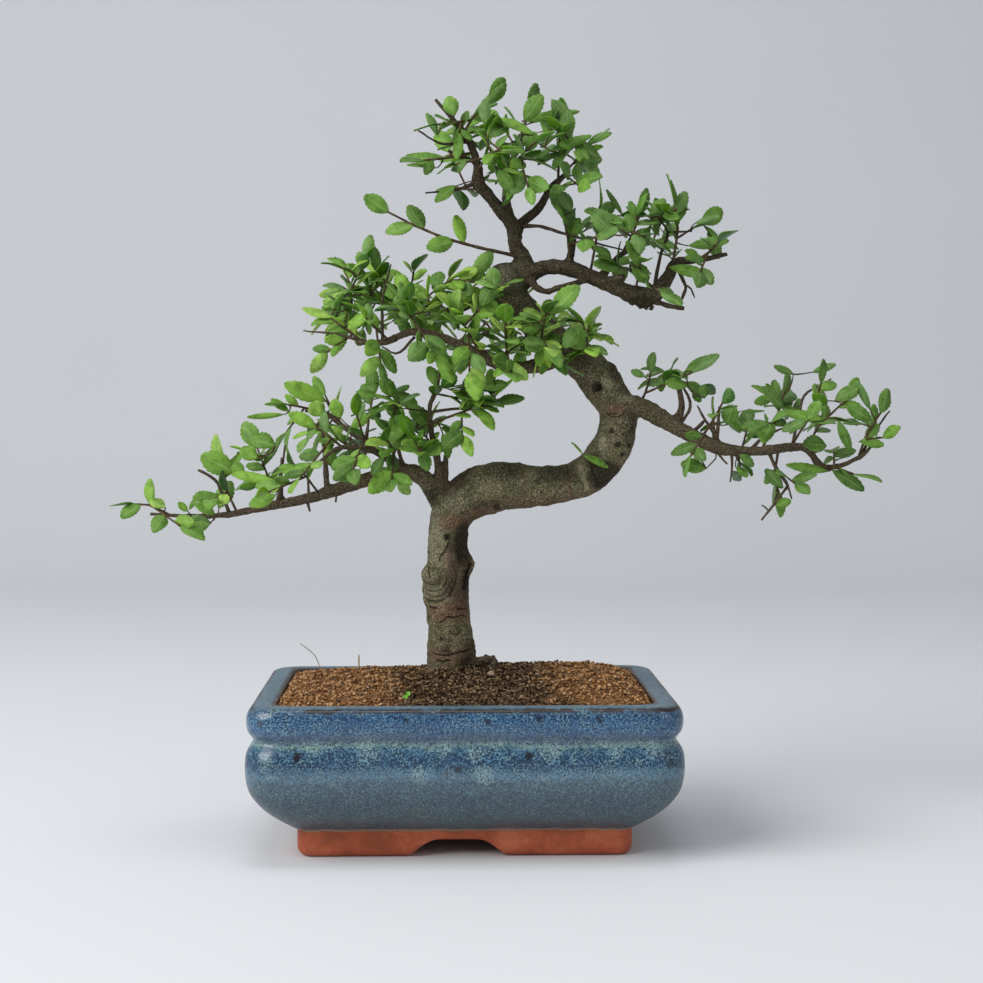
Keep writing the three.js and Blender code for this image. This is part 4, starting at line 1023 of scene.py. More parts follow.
# leaves that show singly: x and z of the foot and the tip as seen from in front, the width and the depth
eye = np.array((-11.2, -932.7, 213.4))
shownLeaves = dict(
    apex=[
        (5, 361, 21, 377, 4, -10), (-4.4, 360.6, -7.9, 370.3, 8, -14), (30.3, 358.3, 39.3, 371.4, 9, -8),
        (44, 369, 54, 356, 8, -4), (35.9, 351.4, 15.4, 359.4, 6, -14), (43.8, 343.4, 64, 351.6, 5, -8),
        (61.4, 346.5, 74, 353, 5, 4), (53.5, 348, 68.3, 340.5, 7, -6), (-10.2, 340, -28.9, 342.3, 4.2, -14),
        (-13, 334.8, -28.4, 336.5, 3, -10), (-13, 351, -18, 362.5, 5, -12),
        (-4.4, 325.6, -14.1, 317.6, 7, -14), (59.7, 340, 68.4, 331.2, 5, 0), (30, 358, 58, 364, 5, 0),
    ],
    upper_right=[
        (75.9, 301.6, 64.3, 314.3, 12, -24), (83.8, 303.2, 82.2, 312.2, 7, -22),
        (93.3, 310.6, 101.3, 319.6, 6.5, -14), (107.9, 315.5, 103.9, 329.2, 1.8, -12),
        (79.6, 311.7, 71.7, 324.4, 2.8, -12), (54.3, 313.2, 47.9, 323.4, 7, -12),
        (116, 307.4, 129.2, 311.1, 4, -12), (112.9, 296.3, 133.4, 298.9, 6, -14),
        (103.4, 285.6, 123.4, 281.9, 6, -16), (79, 285, 64.8, 287.2, 8.5, -20),
        (84.5, 286.5, 93.3, 278.7, 9, -24), (113.4, 314.3, 100.7, 314.7, 3.6, -10),
    ],
    centre=[(44, 262, 58, 276.5, 11, -46), (60, 256, 50, 246, 8, -40)],
    right=[
        (111.9, 233.4, 125.3, 241.5, 7, -12), (112.9, 225.7, 101.4, 228, 6, -18),
        (121.5, 219.9, 120.5, 226.6, 6, -14), (91.4, 230.5, 84.4, 234, 4, -10),
        (132.9, 206.4, 135.8, 216.5, 9, -16), (139.6, 213.2, 152, 213.4, 1.6, -14),
        (181.6, 208.8, 161.6, 213.2, 6, -22), (161.6, 214.6, 151.6, 226.1, 7, -16),
        (187.4, 218.4, 199.3, 225.7, 7, -18), (205.5, 214.1, 198.6, 228.8, 4, -20),
        (193.1, 216.5, 206, 208.8, 7, -24), (183.5, 195.9, 172, 197.3, 10, -30),
        (186.4, 183.4, 203.6, 173.7, 7, -24), (184.5, 182.9, 163, 186.2, 5, -22),
        (200, 197.8, 213, 196.8, 6, -22), (189.3, 208.8, 195.5, 193, 5, -28),
        (122.4, 184.3, 109.5, 186.7, 8, -20), (118.6, 190.6, 112.9, 196.3, 6, -22),
        (139.2, 191.5, 146.8, 185.7, 5, -18), (137.3, 185.1, 143.9, 180.7, 4, -16),
        (161.6, 174.7, 152.2, 183.8, 6, -16), (157.8, 165.6, 165.4, 168.4, 5, -16),
        (166.4, 231.9, 156.8, 236.2, 4, -12), (175.9, 232.9, 187.9, 237, 4, -12),
    ],
    lower_left=[
        (-69.1, 218.5, -89.9, 227.2, 9, 8), (-87.6, 213.1, -96.7, 219.4, 5, 12),
        (-89.9, 211.7, -108.7, 210.3, 3.2, 14), (-94.4, 195.8, -107.1, 200.3, 10, -12),
        (-103.4, 189.4, -112, 194.8, 8, -18), (-114.8, 183, -131.9, 191.2, 11.5, -18),
        (-109.8, 183, -116.3, 185.7, 6.5, -24), (-95.3, 178.5, -117, 181.6, 6, -26),
        (-122.9, 164.5, -117, 178.5, 9, -12), (-94.4, 171.2, -107.7, 165.7, 8, -26),
        (-91.2, 178.9, -73.1, 188.5, 7, -24), (-127, 157.5, -137.4, 159.8, 5, -20),
        (-127.4, 156.6, -139.9, 153.4, 6, -22), (-149.6, 164.8, -157.3, 168.9, 7, -16),
        (-138.3, 163, -143.4, 167.5, 4, -18), (-137.6, 163.9, -134.4, 169.8, 3, -18),
        (-124.7, 161.4, -134.9, 167.1, 6, -20), (-66.4, 185.7, -68.2, 194.8, 6, -28),
        (-52.3, 183.9, -61.8, 178.5, 6, -24), (-40.1, 190.3, -46.4, 181.2, 6, -24),
        (-56.4, 205.3, -47.8, 211.2, 6, -16), (-61.8, 209.9, -65.4, 219.4, 8, -10),
        (-70.9, 210.8, -76.3, 218.1, 9, -6), (-32, 214.9, -39.7, 215.3, 4, -14),
        (-34.2, 220.8, -41.9, 229.5, 8, -10), (-24.3, 204.9, -34.7, 210.8, 6, -22),
        (-33.3, 178, -27, 171.6, 5.5, -14),
    ],
)
bendLeaves = dict(
    shoots=[[(63, -9, 189, 1), (60.5, -13, 190.4, 0.9), (58.8, -14.6, 191.8, 0.7)]],
    leaves=[
        dict(
            root=(58.8, -14.6, 191.8), axis=(-0.58, 0, 0.815), face=(0.75, -0.4, 0.53),
            size=0.56, broad=0.8,
        ),
        dict(
            root=(59.2, -14.8, 191.4), axis=(0.9, -0.14, -0.41), face=(0.16, -0.8, 0.58),
            size=0.94, broad=0.66, tone=(0.5, 0.4, 0.1, 1),
        ),
    ],
)
leaf = dict(length=14.6, width=7.2, fold=0.22, thickness=0.34, steps=14, smallSteps=10, tooth=0.05, droop=0.1)
# how much darker or lighter each mass's leaves are painted: painted shade in the apex, upper right and right
# masses, painted light in the centre and middle left
paintedLeafShade = dict(apex=0.66, upper_right=0.47, right=0.57, centre=1.32, middle_left=1.14)
light = np.array((0, -0.35, 0.5))
overhead = np.array((0, -0.14, 0.95))
# the room to other leaves and to stems, how often a leaf tries, how far it leans out, its size and its light
ownLeaves = dict(rooms=(2.6, 1.4), tries=8, lean=0.7, sizes=(0.82, 0.34), above=light)
fillLeaves = dict(rooms=(1.2, 0.6), tries=6, lean=0.5, sizes=(0.6, 0.46), above=light)
fineLeaves = dict(rooms=(0.95, 0.2), tries=4, lean=0.62)
growth = dict(
    places=[1, 0.66, 0.4], spacing=16.5, fillSpacing=5.5, fineSpacing=4.1, fineReach=(7, 32),
    sparse=("apex", "upper_right", "right", "lower_left"), sparseShare=0.45, overheadShare=0.72,
    edgeRoom=1.6, bladeRoom=1.2,
    twigScale=0.62, twigSpacing=3.5, knots=(0.94, 1.12), twigSides=6, fineSides=5,
    shownRadii=(0.75, 0.6, 0.45), fineRadii=(0.85, 0.7, 0.5),
)


def draws(seed):
    # repeatable draws between 0 and 1
    state = (seed * 7919 + 17) % 2147483647
    while True:
        state = (state * 16807) % 2147483647
        yield state / 2147483647


def unit(vector):
    return vector / np.linalg.norm(vector)


def pointAlong(points, part):
    reach = min(part, 0.999) * (len(points) - 1)
    index = int(reach)
    start, end = np.array(points[index][:3], float), np.array(points[index + 1][:3], float)
    return start + (end - start) * (reach - index)


def samplesAlong(points, count):
    return np.array([curveAt(points, step / count) for step in range(count + 1)])


def shootsOf(bough, at, tips, seed):
    draw = draws(seed)
    shoots = []
    for order, tip in enumerate(tips):
        end = np.array(tip, float)
        if order:
            start = pointAlong(shoots[0], 0.26 + 0.14 * order)
            shoots.append([tuple(start) + (0.9,), tuple(end) + (0.8,)])
        else:
            start = curveAt(boughs[bough], at)[:3]
            bend = np.array((next(draw) - 0.5, next(draw) - 0.5, next(draw) - 0.3))
            knee = start + (end - start) * 0.5 + bend * 0.2 * np.linalg.norm(end - start)
            shoots.append([tuple(start) + (1.1,), tuple(knee) + (1,), tuple(end) + (0.8,)])
    return shoots


def plantSprays():
    # the shoots of the solid model's sprays
    plants = []
    for mass, rows in sprays.items():
        for number, (bough, at, *tips) in enumerate(rows, 1):
            name = f"spray_{mass}_{number}" if len(rows) > 1 else f"spray_{mass}"
            shoots = shootsOf(bough, at, tips, len(plants) + 1)
            plants.append(dict(name=name, mass=mass, shoots=shoots, leaves=[]))
    plants.append(dict(name="spray_long_shoot", mass="long_shoot", shoots=[longShoot], leaves=[]))
    return plants


def leafPlace(points, part, side, outward, draw, lean, sizes, above):
    root = pointAlong(points, 0.98 if part == 1 else part)
    along = unit(pointAlong(points, part) - pointAlong(points, part - 0.06))
    scatter = np.array((next(draw) - 0.5, next(draw) - 0.5, next(draw) - 0.5))
    facing = above + outward * 0.35 + scatter * 0.9
    turn = 0.3 * next(draw) if part == 1 else lean + 0.45 * next(draw)
    sideways = unit(np.cross(facing, along)) * side
    axis = along * math.cos(turn) + sideways * math.sin(turn)
    axis = unit(axis + np.array((0, 0, 0.3 * (next(draw) - 0.45))))
    face = unit(facing - axis * facing.dot(axis))
    return dict(root=root, axis=axis, face=face, size=sizes[0] + sizes[1] * next(draw))


def leafSamples(one):
    across = np.cross(one["face"], one["axis"])
    samples = []
    for along, out in ((0.3, 0), (0.5, 0.35), (0.5, -0.35), (0.62, 0), (0.78, 0.25), (0.78, -0.25), (1, 0)):
        point = one["root"] + one["axis"] * along * leaf["length"] * one["size"]
        samples.append(point + across * out * leaf["width"] * one["size"])
    return np.array(samples)


def crowded(samples, others, room):
    # others carry a radius in their fourth column
    if not len(others):
        return False
    away = np.linalg.norm(samples[:, None, :] - others[None, :, :3], axis=2)
    return bool((away < room + others[None, :, 3]).any())


class Crown:
    # the leaves so far, kept apart from each other, from the wood and inside the solid model's box
    def __init__(self):
        lines = [*boughs.values(), *stubs]
        self.wood = np.vstack([samplesAlong(points, 4 * len(points)) for points in lines])
        self.placed = np.zeros((0, 4))
        low, high = (np.array(corner) * 1000 - np.array(potCentre) * 1000 for corner in cadBounds)
        self.low, self.high = low + growth["edgeRoom"], high - growth["edgeRoom"]

    def keep(self, samples):
        self.placed = np.vstack([self.placed, np.hstack([samples, np.zeros((len(samples), 1))])])

    def count(self):
        return len(self.placed) // 7

    def tryLeaf(self, plant, others, stand, draw, rooms, tries, inside=True, **manner):
        for _ in range(tries):
            one = leafPlace(*stand, draw, **manner)
            samples = leafSamples(one)
            if inside and ((samples < self.low).any() or (samples > self.high).any()):
                continue
            taken = crowded(samples, self.placed, rooms[0]) or crowded(samples, others, rooms[1])
            if not taken and not crowded(samples, self.wood, rooms[1]):
                plant["leaves"].append(one)
                self.keep(samples)
                return


crown = Crown()


def shootsOfAll(plants):
    # each shoot with its seed, its plant, the twigs of the other plants, its length and the way it grows
    twigs = [np.vstack([samplesAlong(points, 14) for points in plant["shoots"]]) for plant in plants]
    rows = []
    for index, plant in enumerate(plants):
        others = np.vstack(twigs[:index] + twigs[index + 1:])
        for order, points in enumerate(plant["shoots"]):
            whole = pointAlong(points, 1) - pointAlong(points, 0)
            length = np.linalg.norm(whole)
            rows.append((1000 * index + 100 * order, plant, others, points, length, whole / length))
    return rows


def growOwnLeaves(shoots):
    # the solid model's own leaves in their places
    for seed, plant, others, points, length, outward in shoots:
        places = growth["places"][:max(1, int(length / growth["spacing"] + 0.5))]
        if plant["mass"] == "long_shoot":  # its leaves face the viewer
            places, outward = longShootPlaces, np.array((0, -2.4, 0))
        if plant["mass"] == "inner_bend":  # placed one by one
            continue
        for number, part in enumerate(places):
            stand = (points, part, -1 if number % 2 else 1, outward)
            crown.tryLeaf(plant, others, stand, draws(seed + number + 500), inside=False, **ownLeaves)


def growFillLeaves(shoots):
    # a few more leaves between the solid model's own
    for seed, plant, others, points, length, outward in shoots:
        if plant["mass"] in ("inner_bend", "long_shoot"):
            continue
        sparse = plant["mass"] in growth["sparse"]
        share = growth["sparseShare"] if sparse else 1
        count = max(1 if sparse else 2, round(length / growth["fillSpacing"] * share))
        for number in range(count):
            part = 0.24 + 0.72 * (number + 0.5) / count
            stand = (points, part, 1 if number % 2 else -1, outward)
            crown.tryLeaf(plant, others, stand, draws(90000 + seed + number), **fillLeaves)


def woodToGrowFrom(plants):
    hosts = [samplesAlong(points, 6 * len(points)) for name, points in boughs.items() if name != "trunk"]
    hosts += [samplesAlong(points, 12) for plant in plants for points in plant["shoots"]]
    hosts = np.vstack(hosts)
    return hosts[hosts[:, 3] < wood["growFrom"]]


def nearestTo(point, hosts):
    away = np.linalg.norm(hosts[:, :3] - point, axis=1)
    return hosts[int(np.argmin(away))][:3], away.min()


def addTwig(clump, hosts, spots, radii):
    # a twig through three spots, which others can start from
    points = [tuple(spot) + (radius,) for spot, radius in zip(spots, radii)]
    clump["shoots"].append(points)
    return points, np.vstack([hosts, samplesAlong(points, 6)[2:]])


def growShownLeaves(plants):
    # each on a twig of its own from the nearest wood
    hosts = woodToGrowFrom(plants)
    draw = draws(52)
    clumps = []
    for mass, rows in shownLeaves.items():
        clump = dict(mass=mass, shoots=[], leaves=[])
        clumps.append(clump)
        for x, z, tipX, tipZ, width, depth in rows:
            ends = []
            for seenX, seenZ, y in ((x, z, depth), (tipX, tipZ, depth + 5 * (next(draw) - 0.6))):
                ends.append(eye + (np.array((seenX, 0, seenZ)) - eye) * (y - eye[1]) / -eye[1])
            root, tip = ends
            axis = unit(tip - root)
            facing = np.array((0.8 * (next(draw) - 0.6), -0.8, 0.75 * next(draw)))
            face = unit(facing - axis * facing.dot(axis))
            size = np.linalg.norm(tip - root) / leaf["length"]
            one = dict(root=root, axis=axis, face=face, size=size, broad=width / leaf["width"] / size)
            clump["leaves"].append(one)
            crown.keep(leafSamples(one))
            start, away = nearestTo(root, hosts)
            if away > 1.5:
                knee = (start + root) / 2 - axis * 0.15 * away
                _, hosts = addTwig(clump, hosts, (start, knee, root), growth["shownRadii"])
    return clumps


def growFineTwigs(plants):
    # short leafy twigs that start at the nearest wood and fill the crown's masses
    hosts = woodToGrowFrom(plants)
    nothing = np.zeros((0, 4))
    near, far = growth["fineReach"]
    clumps = []
    clouds = [(mass, *cloud) for mass, rows in leafClouds.items() for cloud in rows]
    for order, (mass, middle, half, count) in enumerate(clouds):
        clump = dict(mass=mass, shoots=[], leaves=[])
        clumps.append(clump)
        draw = draws(31000 + 57 * order)
        for _ in range(count):
            way = unit(np.array([next(draw) - 0.5 for _ in range(3)]) + 1e-6)
            target = np.array(middle) + way * np.array(half) * (0.25 + 0.75 * next(draw))
            start, length = nearestTo(target, hosts)
            if length > far:
                continue
            if length < near:
                target = start + unit(target - start) * near
                length = near
            bend = np.array((next(draw) - 0.5, next(draw) - 0.5, next(draw) - 0.35)) * 0.28 * length
            spots = (start, (start + target) / 2 + bend, target)
            points, hosts = addTwig(clump, hosts, spots, growth["fineRadii"])
            outward = unit(target - start) * 0.4
            places = max(2, round(length / growth["fineSpacing"]))
            for step in range(places + 1):
                part = min(1, 0.25 + 0.75 * step / places)
                small = 0.52 + 0.2 * next(draw)
                above = overhead if next(draw) < growth["overheadShare"] else light
                stand = (points, part, 1 if step % 2 else -1, outward)
                crown.tryLeaf(clump, nothing, stand, draw, sizes=(small, 0.36), above=above, **fineLeaves)
    return clumps


def leafHalfWidth(part):
    # from a narrow foot, widest past the middle, to a short rounded point
    part = min(1, max(0, part))
    return max(0.05, math.sin(math.pi * part ** 1.06) ** 0.66)


def addLeaf(bm, one, draw, shade=1.0):
    # a toothed blade folded at its midrib, laid out from a grid
    uvLayer, toneLayer = bm.loops.layers.uv.verify(), bm.verts.layers.float_color["tone"]
    steps = leaf["steps"] if one["size"] > 0.8 else leaf["smallSteps"]
    made = bmesh.ops.create_grid(bm, x_segments=2, y_segments=steps, size=0.5)["verts"]
    wide = max(vert.co.x for vert in made)
    root, axis, facing = (np.array(one[key], float) for key in ("root", "axis", "face"))
    across = np.cross(facing, axis)
    broad = one.get("broad", 0.82 + 0.42 * next(draw))
    length, width = leaf["length"] * one["size"], leaf["width"] * one["size"] * broad
    # shade scales the leaf's tone by its mass: painted shade below 1, painted light above 1
    tone = one.get("tone", (shade * next(draw), next(draw), next(draw), 1))
    droop = leaf["droop"] * (next(draw) - 0.1) * 2
    twist = (next(draw) - 0.5) * 0.5
    wave = 6 * next(draw)
    coords = {}
    for vert in made:
        out, part = vert.co.x / wide, vert.co.y / (2 * wide) + 0.5
        step = round(part * steps)
        coords[vert] = (out * 0.5 + 0.5, part)
        spread = out * leafHalfWidth(part) * width / 2
        along = part * length
        if out and 0 < step < steps:
            spread *= 1 + leaf["tooth"] * (1 if step % 2 else -1)
            along += 0.35 * (step % 2)
        lift = leaf["fold"] * abs(spread) - droop * length * part ** 2 + twist * spread * part
        lift += 0.025 * length * math.sin(wave + 5 * part) * abs(out)
        spot = root + axis * along + across * spread + facing * lift
        vert.co = place(np.clip(spot, crown.low - growth["bladeRoom"], crown.high + growth["bladeRoom"]))
        vert[toneLayer] = tone
    for face in {face for vert in made for face in vert.link_faces}:
        for loop in face.loops:
            loop[uvLayer].uv = coords[loop.vert]


def makeLeafFinish(name, under):
    finish = Finish(name, 0.6 if under else 0.4, 0.12 if under else 0.25)
    uv = finish.node("UVMap", 0, {})
    tone, gloss, bluishSheen = finish.channels(finish.attribute("tone", "Color"))
    fromRib = abs(finish.axis(0, uv) - 0.5)
    vein = abs(finish.maths("FRACT", finish.axis(1, uv) * 9 - fromRib * 6) - 0.5)
    veins = finish.span(vein, 0.07, 0)
    rib = finish.span(fromRib, 0.04, 0.012)
    green = finish.ramp(tone, [
        (0.0, 38, 78, 10), (0.25, 71, 120, 18), (0.6, 106, 157, 32), (0.85, 137, 188, 46),
        (1.0, 173, 212, 84),
    ])
    # painted sheen: a bluish grey-green laid over some leaves for the pale gloss on them
    green = finish.blend(finish.span(bluishSheen, 0.65, 1, 0, 0.5), green, paint(112, 146, 100))
    if under:
        green = finish.blend(0.4, green, paint(138, 168, 100))
    patch = finish.span(finish.grain(230, 4, 0.65), 0.44, 0.64, 0, 0.5)
    for amount, *colour in (
        (patch, 42, 82, 18), (veins * 0.16, 128, 170, 74), (rib * 0.42, 160, 188, 112),
        (finish.span(fromRib, 0.45, 0.5, 0, 0.3), 142, 172, 74),
    ):
        green = finish.blend(amount, green, paint(*colour))
    finish.set("Base Color", green)
    finish.set("Roughness", finish.span(gloss, 0, 1, 0.27, 0.5))
    finish.relief(veins * -0.6 + rib * -1, 0.5, 0.0002)
    return finish


def twigRows(points):
    count = max(3, round(lengthOf(points) / growth["twigSpacing"]))
    rows = []
    for step in range(count + 1):
        part = step / count
        along = unit(pointAlong(points, min(1, part + 0.05)) - pointAlong(points, max(0, part - 0.05)))
        across = unit(np.cross(along, (0.3, 1, 0.2)))
        radius = (points[0][3] + (points[-1][3] - points[0][3]) * part) * growth["twigScale"]
        radius *= growth["knots"][step % 2]
        rows.append((pointAlong(points, part), across, np.cross(along, across), along, radius))
    return rows


def tonedMesh():
    bm = bmesh.new()
    bm.verts.layers.float_color.new("tone")
    return bm


def makeFoliage():
    plants = plantSprays()
    shoots = shootsOfAll(plants)
    growOwnLeaves(shoots)
    print("leaves of the solid model", crown.count())
    *ordinary, innerBend, _ = plants
    innerBend.update(bendLeaves)
    shown = growShownLeaves(ordinary)
    growFillLeaves(shoots)
    fine = growFineTwigs(ordinary + shown)
    print("leaves in all", crown.count(), "fine twigs", sum(len(clump["shoots"]) for clump in fine))
    for index, mass in enumerate([*sprays, "long_shoot"]):
        members = [plant for plant in plants if plant["mass"] == mass]
        grown = [clump for clump in shown + fine if clump["mass"] == mass]
        blades, twigs = tonedMesh(), bmesh.new()
        for number, plant in enumerate(members + grown):
            draw = draws(7000 + 100 * index + number)
            batch = tonedMesh()
            for one in plant["leaves"]:
                addLeaf(batch, one, draw, paintedLeafShade.get(mass, 1))
            pourInto(blades, batch)
            sides = growth["twigSides"] if "name" in plant else growth["fineSides"]
            for points in plant["shoots"]:
                tubeInto(twigs, twigRows(points), sides)
        words = "".join(word.capitalize() for word in mass.split("_"))
        names = [plant["name"] for plant in members]
        leaves = finishPiece("leaves" + words, blades, [leafTop, leafUnder], names)
        thicken = leaves.modifiers.new("thicken", "SOLIDIFY")
        thicken.thickness = leaf["thickness"] / 1000
        thicken.offset = 0
        thicken.material_offset = 1
        thicken.material_offset_rim = 0
        finishPiece("twigs" + words, twigs, [twigFinish])


leafTop, leafUnder = makeLeafFinish("leafFace", False), makeLeafFinish("leafUnderside", True)
twigStops = [(0.3, 52, 40, 30), (0.55, 86, 68, 48), (0.75, 112, 98, 66)]
twigFinish = plainFinish("youngTwig", 0.7, 0.3, (420, 3), twigStops, (900, 3, 0.5, 0.0003))
makeFoliage()
print("foliage made")

# The soil and what lies on it
soil = dict(
    rise=7.5, tilt=0.035, heap=2.8, inset=12.9, radius=10, rings=60, depth=22, baseInset=6,
    crumbs=7900, crumbSizes=(0.42, 1.02), flakes=80, collar=420, trunk=(-6, 7), batch=2400,
)
litter = dict(
    stones=[  # x, y and radius
        (13.5, -17, 1.9), (-47, -36, 0.8), (36, -22, 0.9), (62, -30, 0.8), (-22, 26, 1.1), (40, 34, 1),
        (-60, 12, 0.9),
    ],
    chips=[  # x, y, length and turn in degrees
        (24, -16, 4.6, 20), (19, -9, 3.4, 75), (33, -6, 5, -30), (-30, -16, 3.4, 50), (44, -22, 3.6, 10),
        (2, -36, 3, 100), (-12, -28, 3.6, -20),
    ],
    hair=[(-70, 0, 82), (-72.5, 0, 84.5), (-75, 0, 90), (-78.5, -1, 93.5), (-82.5, -1, 96.5)],
    spike=[(-53, 0, 83), (-53, 0, 90.5)], hairRadius=0.24, spikeRadius=0.4, strawRadius=0.14, straws=20,
)


def soilHeight(x, y):
    middle = max(0, 1 - abs(x / 90) ** 8) * max(0, 1 - abs(y / 64) ** 3) ** 0.8
    lumps = 0.9 * math.sin(0.19 * x + 1.3) * math.sin(0.24 * y + 0.4) + 0.5 * math.sin(0.51 * x - 0.4 * y)
    heap = soil["heap"] * bell(x - 2, 30) * bell(y - 2, 24)
    return pot["lip"] - 1.6 + middle * (soil["rise"] + soil["tilt"] * x + heap) + lumps * (0.3 + 0.7 * middle)


def makeSoilFinish(name, loose):
    # dry and pale at both ends of the pot, damp and dark round the trunk
    finish = Finish(name, 0.96, 0.12)
    acrossPot = (finish.axis(0) - potCentre[0]) * 1000
    pale = finish.span(abs(acrossPot + finish.stray(58, 60, 4, 0.65) - 4), 29, 49)
    fine = finish.grain(900, 3, 0.65)
    own = finish.attribute("tone") if loose else finish.axis(0, finish.cells(780, "Color"))
    grains = own * 0.72 + fine * 0.28
    dry = finish.ramp(grains, [
        (0.12, 84, 56, 36), (0.32, 146, 102, 66), (0.55, 182, 134, 90), (0.78, 206, 162, 116),
        (0.92, 228, 198, 160),
    ])
    damp = finish.ramp(grains, [
        (0.12, 30, 23, 17), (0.36, 70, 56, 42), (0.6, 114, 92, 68), (0.8, 156, 128, 98),
        (0.95, 196, 168, 134),
    ])
    earth = finish.blend(pale, damp, dry)
    if loose:
        finish.set("Base Color", earth)
        finish.relief(finish.grain(1900, 3, 0.6), 0.8, 0.0006)
    else:
        # painted shade: the bed shows only in the gaps between the crumbs, and is darkened there
        finish.set("Base Color", finish.blend(0.55, earth, paint(30, 22, 16)))
        finish.relief(fine + finish.cells(780) * -1.4, 0.8, 0.0006)
    return finish


def insideSoil(x, y, spare):
    halfX, halfY = pot["halfWidth"] - soil["inset"] - spare, pot["halfDepth"] - soil["inset"] - spare
    cornerX, cornerY = max(0, abs(x) - halfX + soil["radius"]), max(0, abs(y) - halfY + soil["radius"])
    return math.hypot(cornerX, cornerY) <= soil["radius"]


def makeSoilBed():
    outline = rectangleLoop(soil["inset"], soil["radius"])
    base = rectangleLoop(soil["inset"] + soil["baseInset"], soil["radius"])
    rings = [[place((x, y, pot["lip"] - soil["depth"])) for x, y in base]]
    for step in range(soil["rings"]):
        part = 1 - step / soil["rings"]
        ring = []
        for x, y in outline:
            x, y = x * part, y * part
            rough = 0.6 * bumps(x * 0.3, y * 0.3, 3) + 0.45 * bumps(x * 0.9, y * 0.9, 7)
            ring.append(place((x, y, soilHeight(x, y) - 0.5 + rough)))
        rings.append(ring)
    finishPiece("soilBed", loft(rings), [makeSoilFinish("soilGround", False)], ["soil"])


def makeCrumbs():
    loose, batch = bmesh.new(), bmesh.new()
    loose.verts.layers.float.new("tone")
    tone = batch.verts.layers.float.new("tone")
    draw = draws(4711)
    halfX, halfY = pot["halfWidth"] - soil["inset"], pot["halfDepth"] - soil["inset"]
    low, high = soil["crumbSizes"]
    plain = soil["crumbs"]
    for number in range(plain + soil["flakes"] + soil["collar"]):
        x, y = (2 * next(draw) - 1) * halfX, (2 * next(draw) - 1) * halfY
        radius = low + (high - low) * next(draw) ** 2.4
        turn, tilt, flat, shade = 6.3 * next(draw), 3.1 * next(draw), 0.72 + 0.28 * next(draw), next(draw)
        heap = 0
        if number >= plain + soil["flakes"]:  # piled against the foot of the trunk
            out = 10 + 8 * next(draw)
            x, y = soil["trunk"][0] + out * math.cos(turn), soil["trunk"][1] + out * math.sin(turn)
            heap = max(0, 2.6 - 0.42 * (out - 10)) * (0.4 + 0.6 * shade)
        elif number >= plain:  # chaff and bits of bark in the damp middle
            x, y = x * 0.42, y * 0.9
            radius, tilt, flat, shade = radius + 0.5, 0.5 * tilt, 0.25, 0.8 + 0.2 * shade
        if not insideSoil(x, y, 1.0):
            continue
        spin = Matrix.Rotation(turn, 4, "Z") @ Matrix.Rotation(tilt, 4, "X")
        spin = spin @ Matrix.Diagonal((1, 0.8, flat, 1))
        crumb = bmesh.ops.create_icosphere(batch, subdivisions=1, radius=radius / 1000, matrix=spin)["verts"]
        bmesh.ops.translate(batch, vec=place((x, y, soilHeight(x, y) + 0.2 * radius + heap)), verts=crumb)
        for vert in crumb:
            vert[tone] = shade
        if len(batch.verts) > soil["batch"]:
            pourInto(loose, batch)
            batch = bmesh.new()
            tone = batch.verts.layers.float.new("tone")
    pourInto(loose, batch)
    finishPiece("soilCrumbs", loose, [makeSoilFinish("soilGrains", True)])


def makeStones():
    grit = bmesh.new()
    for number, (x, y, radius) in enumerate(litter["stones"]):
        stone = bmesh.ops.create_icosphere(grit, subdivisions=3, radius=radius / 1000)["verts"]
        for vert in stone:
            vert.co *= 1 + 0.28 * noise.noise(vert.co * 700 + Vector((number * 3, 0, 0)))
            vert.co.z *= 0.7
        bmesh.ops.translate(grit, vec=place((x, y, soilHeight(x, y) + 0.3 * radius)), verts=stone)
    stops = [(0.3, 140, 116, 98), (0.6, 188, 162, 140), (0.8, 208, 188, 166)]
    finish = plainFinish("paleGrit", 0.9, 0.2, (800, 4), stops, (1500, 3, 0.5, 0.0003))
    finishPiece("gritStones", grit, [finish])


def makeChips():
    chips = bmesh.new()
    for number, (x, y, length, turn) in enumerate(litter["chips"]):
        chip = bmesh.new()
        bmesh.ops.create_cube(chip, size=1)
        bmesh.ops.subdivide_edges(chip, edges=chip.edges[:], cuts=3, use_grid_fill=True)
        for vert in chip.verts:
            bent = Vector((vert.co.x * length, vert.co.y * 1.5, vert.co.z * 0.9))
            wander = (bent + Vector((number, 0, 0)), bent + Vector((0, number, 5)), bent)
            vert.co = (bent + 0.7 * Vector([noise.noise(spot) for spot in wander])) / 1000
        lean = Matrix.Rotation(math.radians(turn), 4, "Z") @ Matrix.Rotation(0.2, 4, "Y")
        chip.transform(Matrix.Translation(place((x, y, soilHeight(x, y) + 0.8))) @ lean)
        pourInto(chips, chip)
    stops = [(0.3, 52, 38, 30), (0.6, 94, 70, 52), (0.8, 134, 106, 80)]
    finish = plainFinish("barkChips", 0.9, 0.2, (500, 4), stops, (1100, 4, 0.6, 0.0004))
    finishPiece("barkChips", chips, [finish])


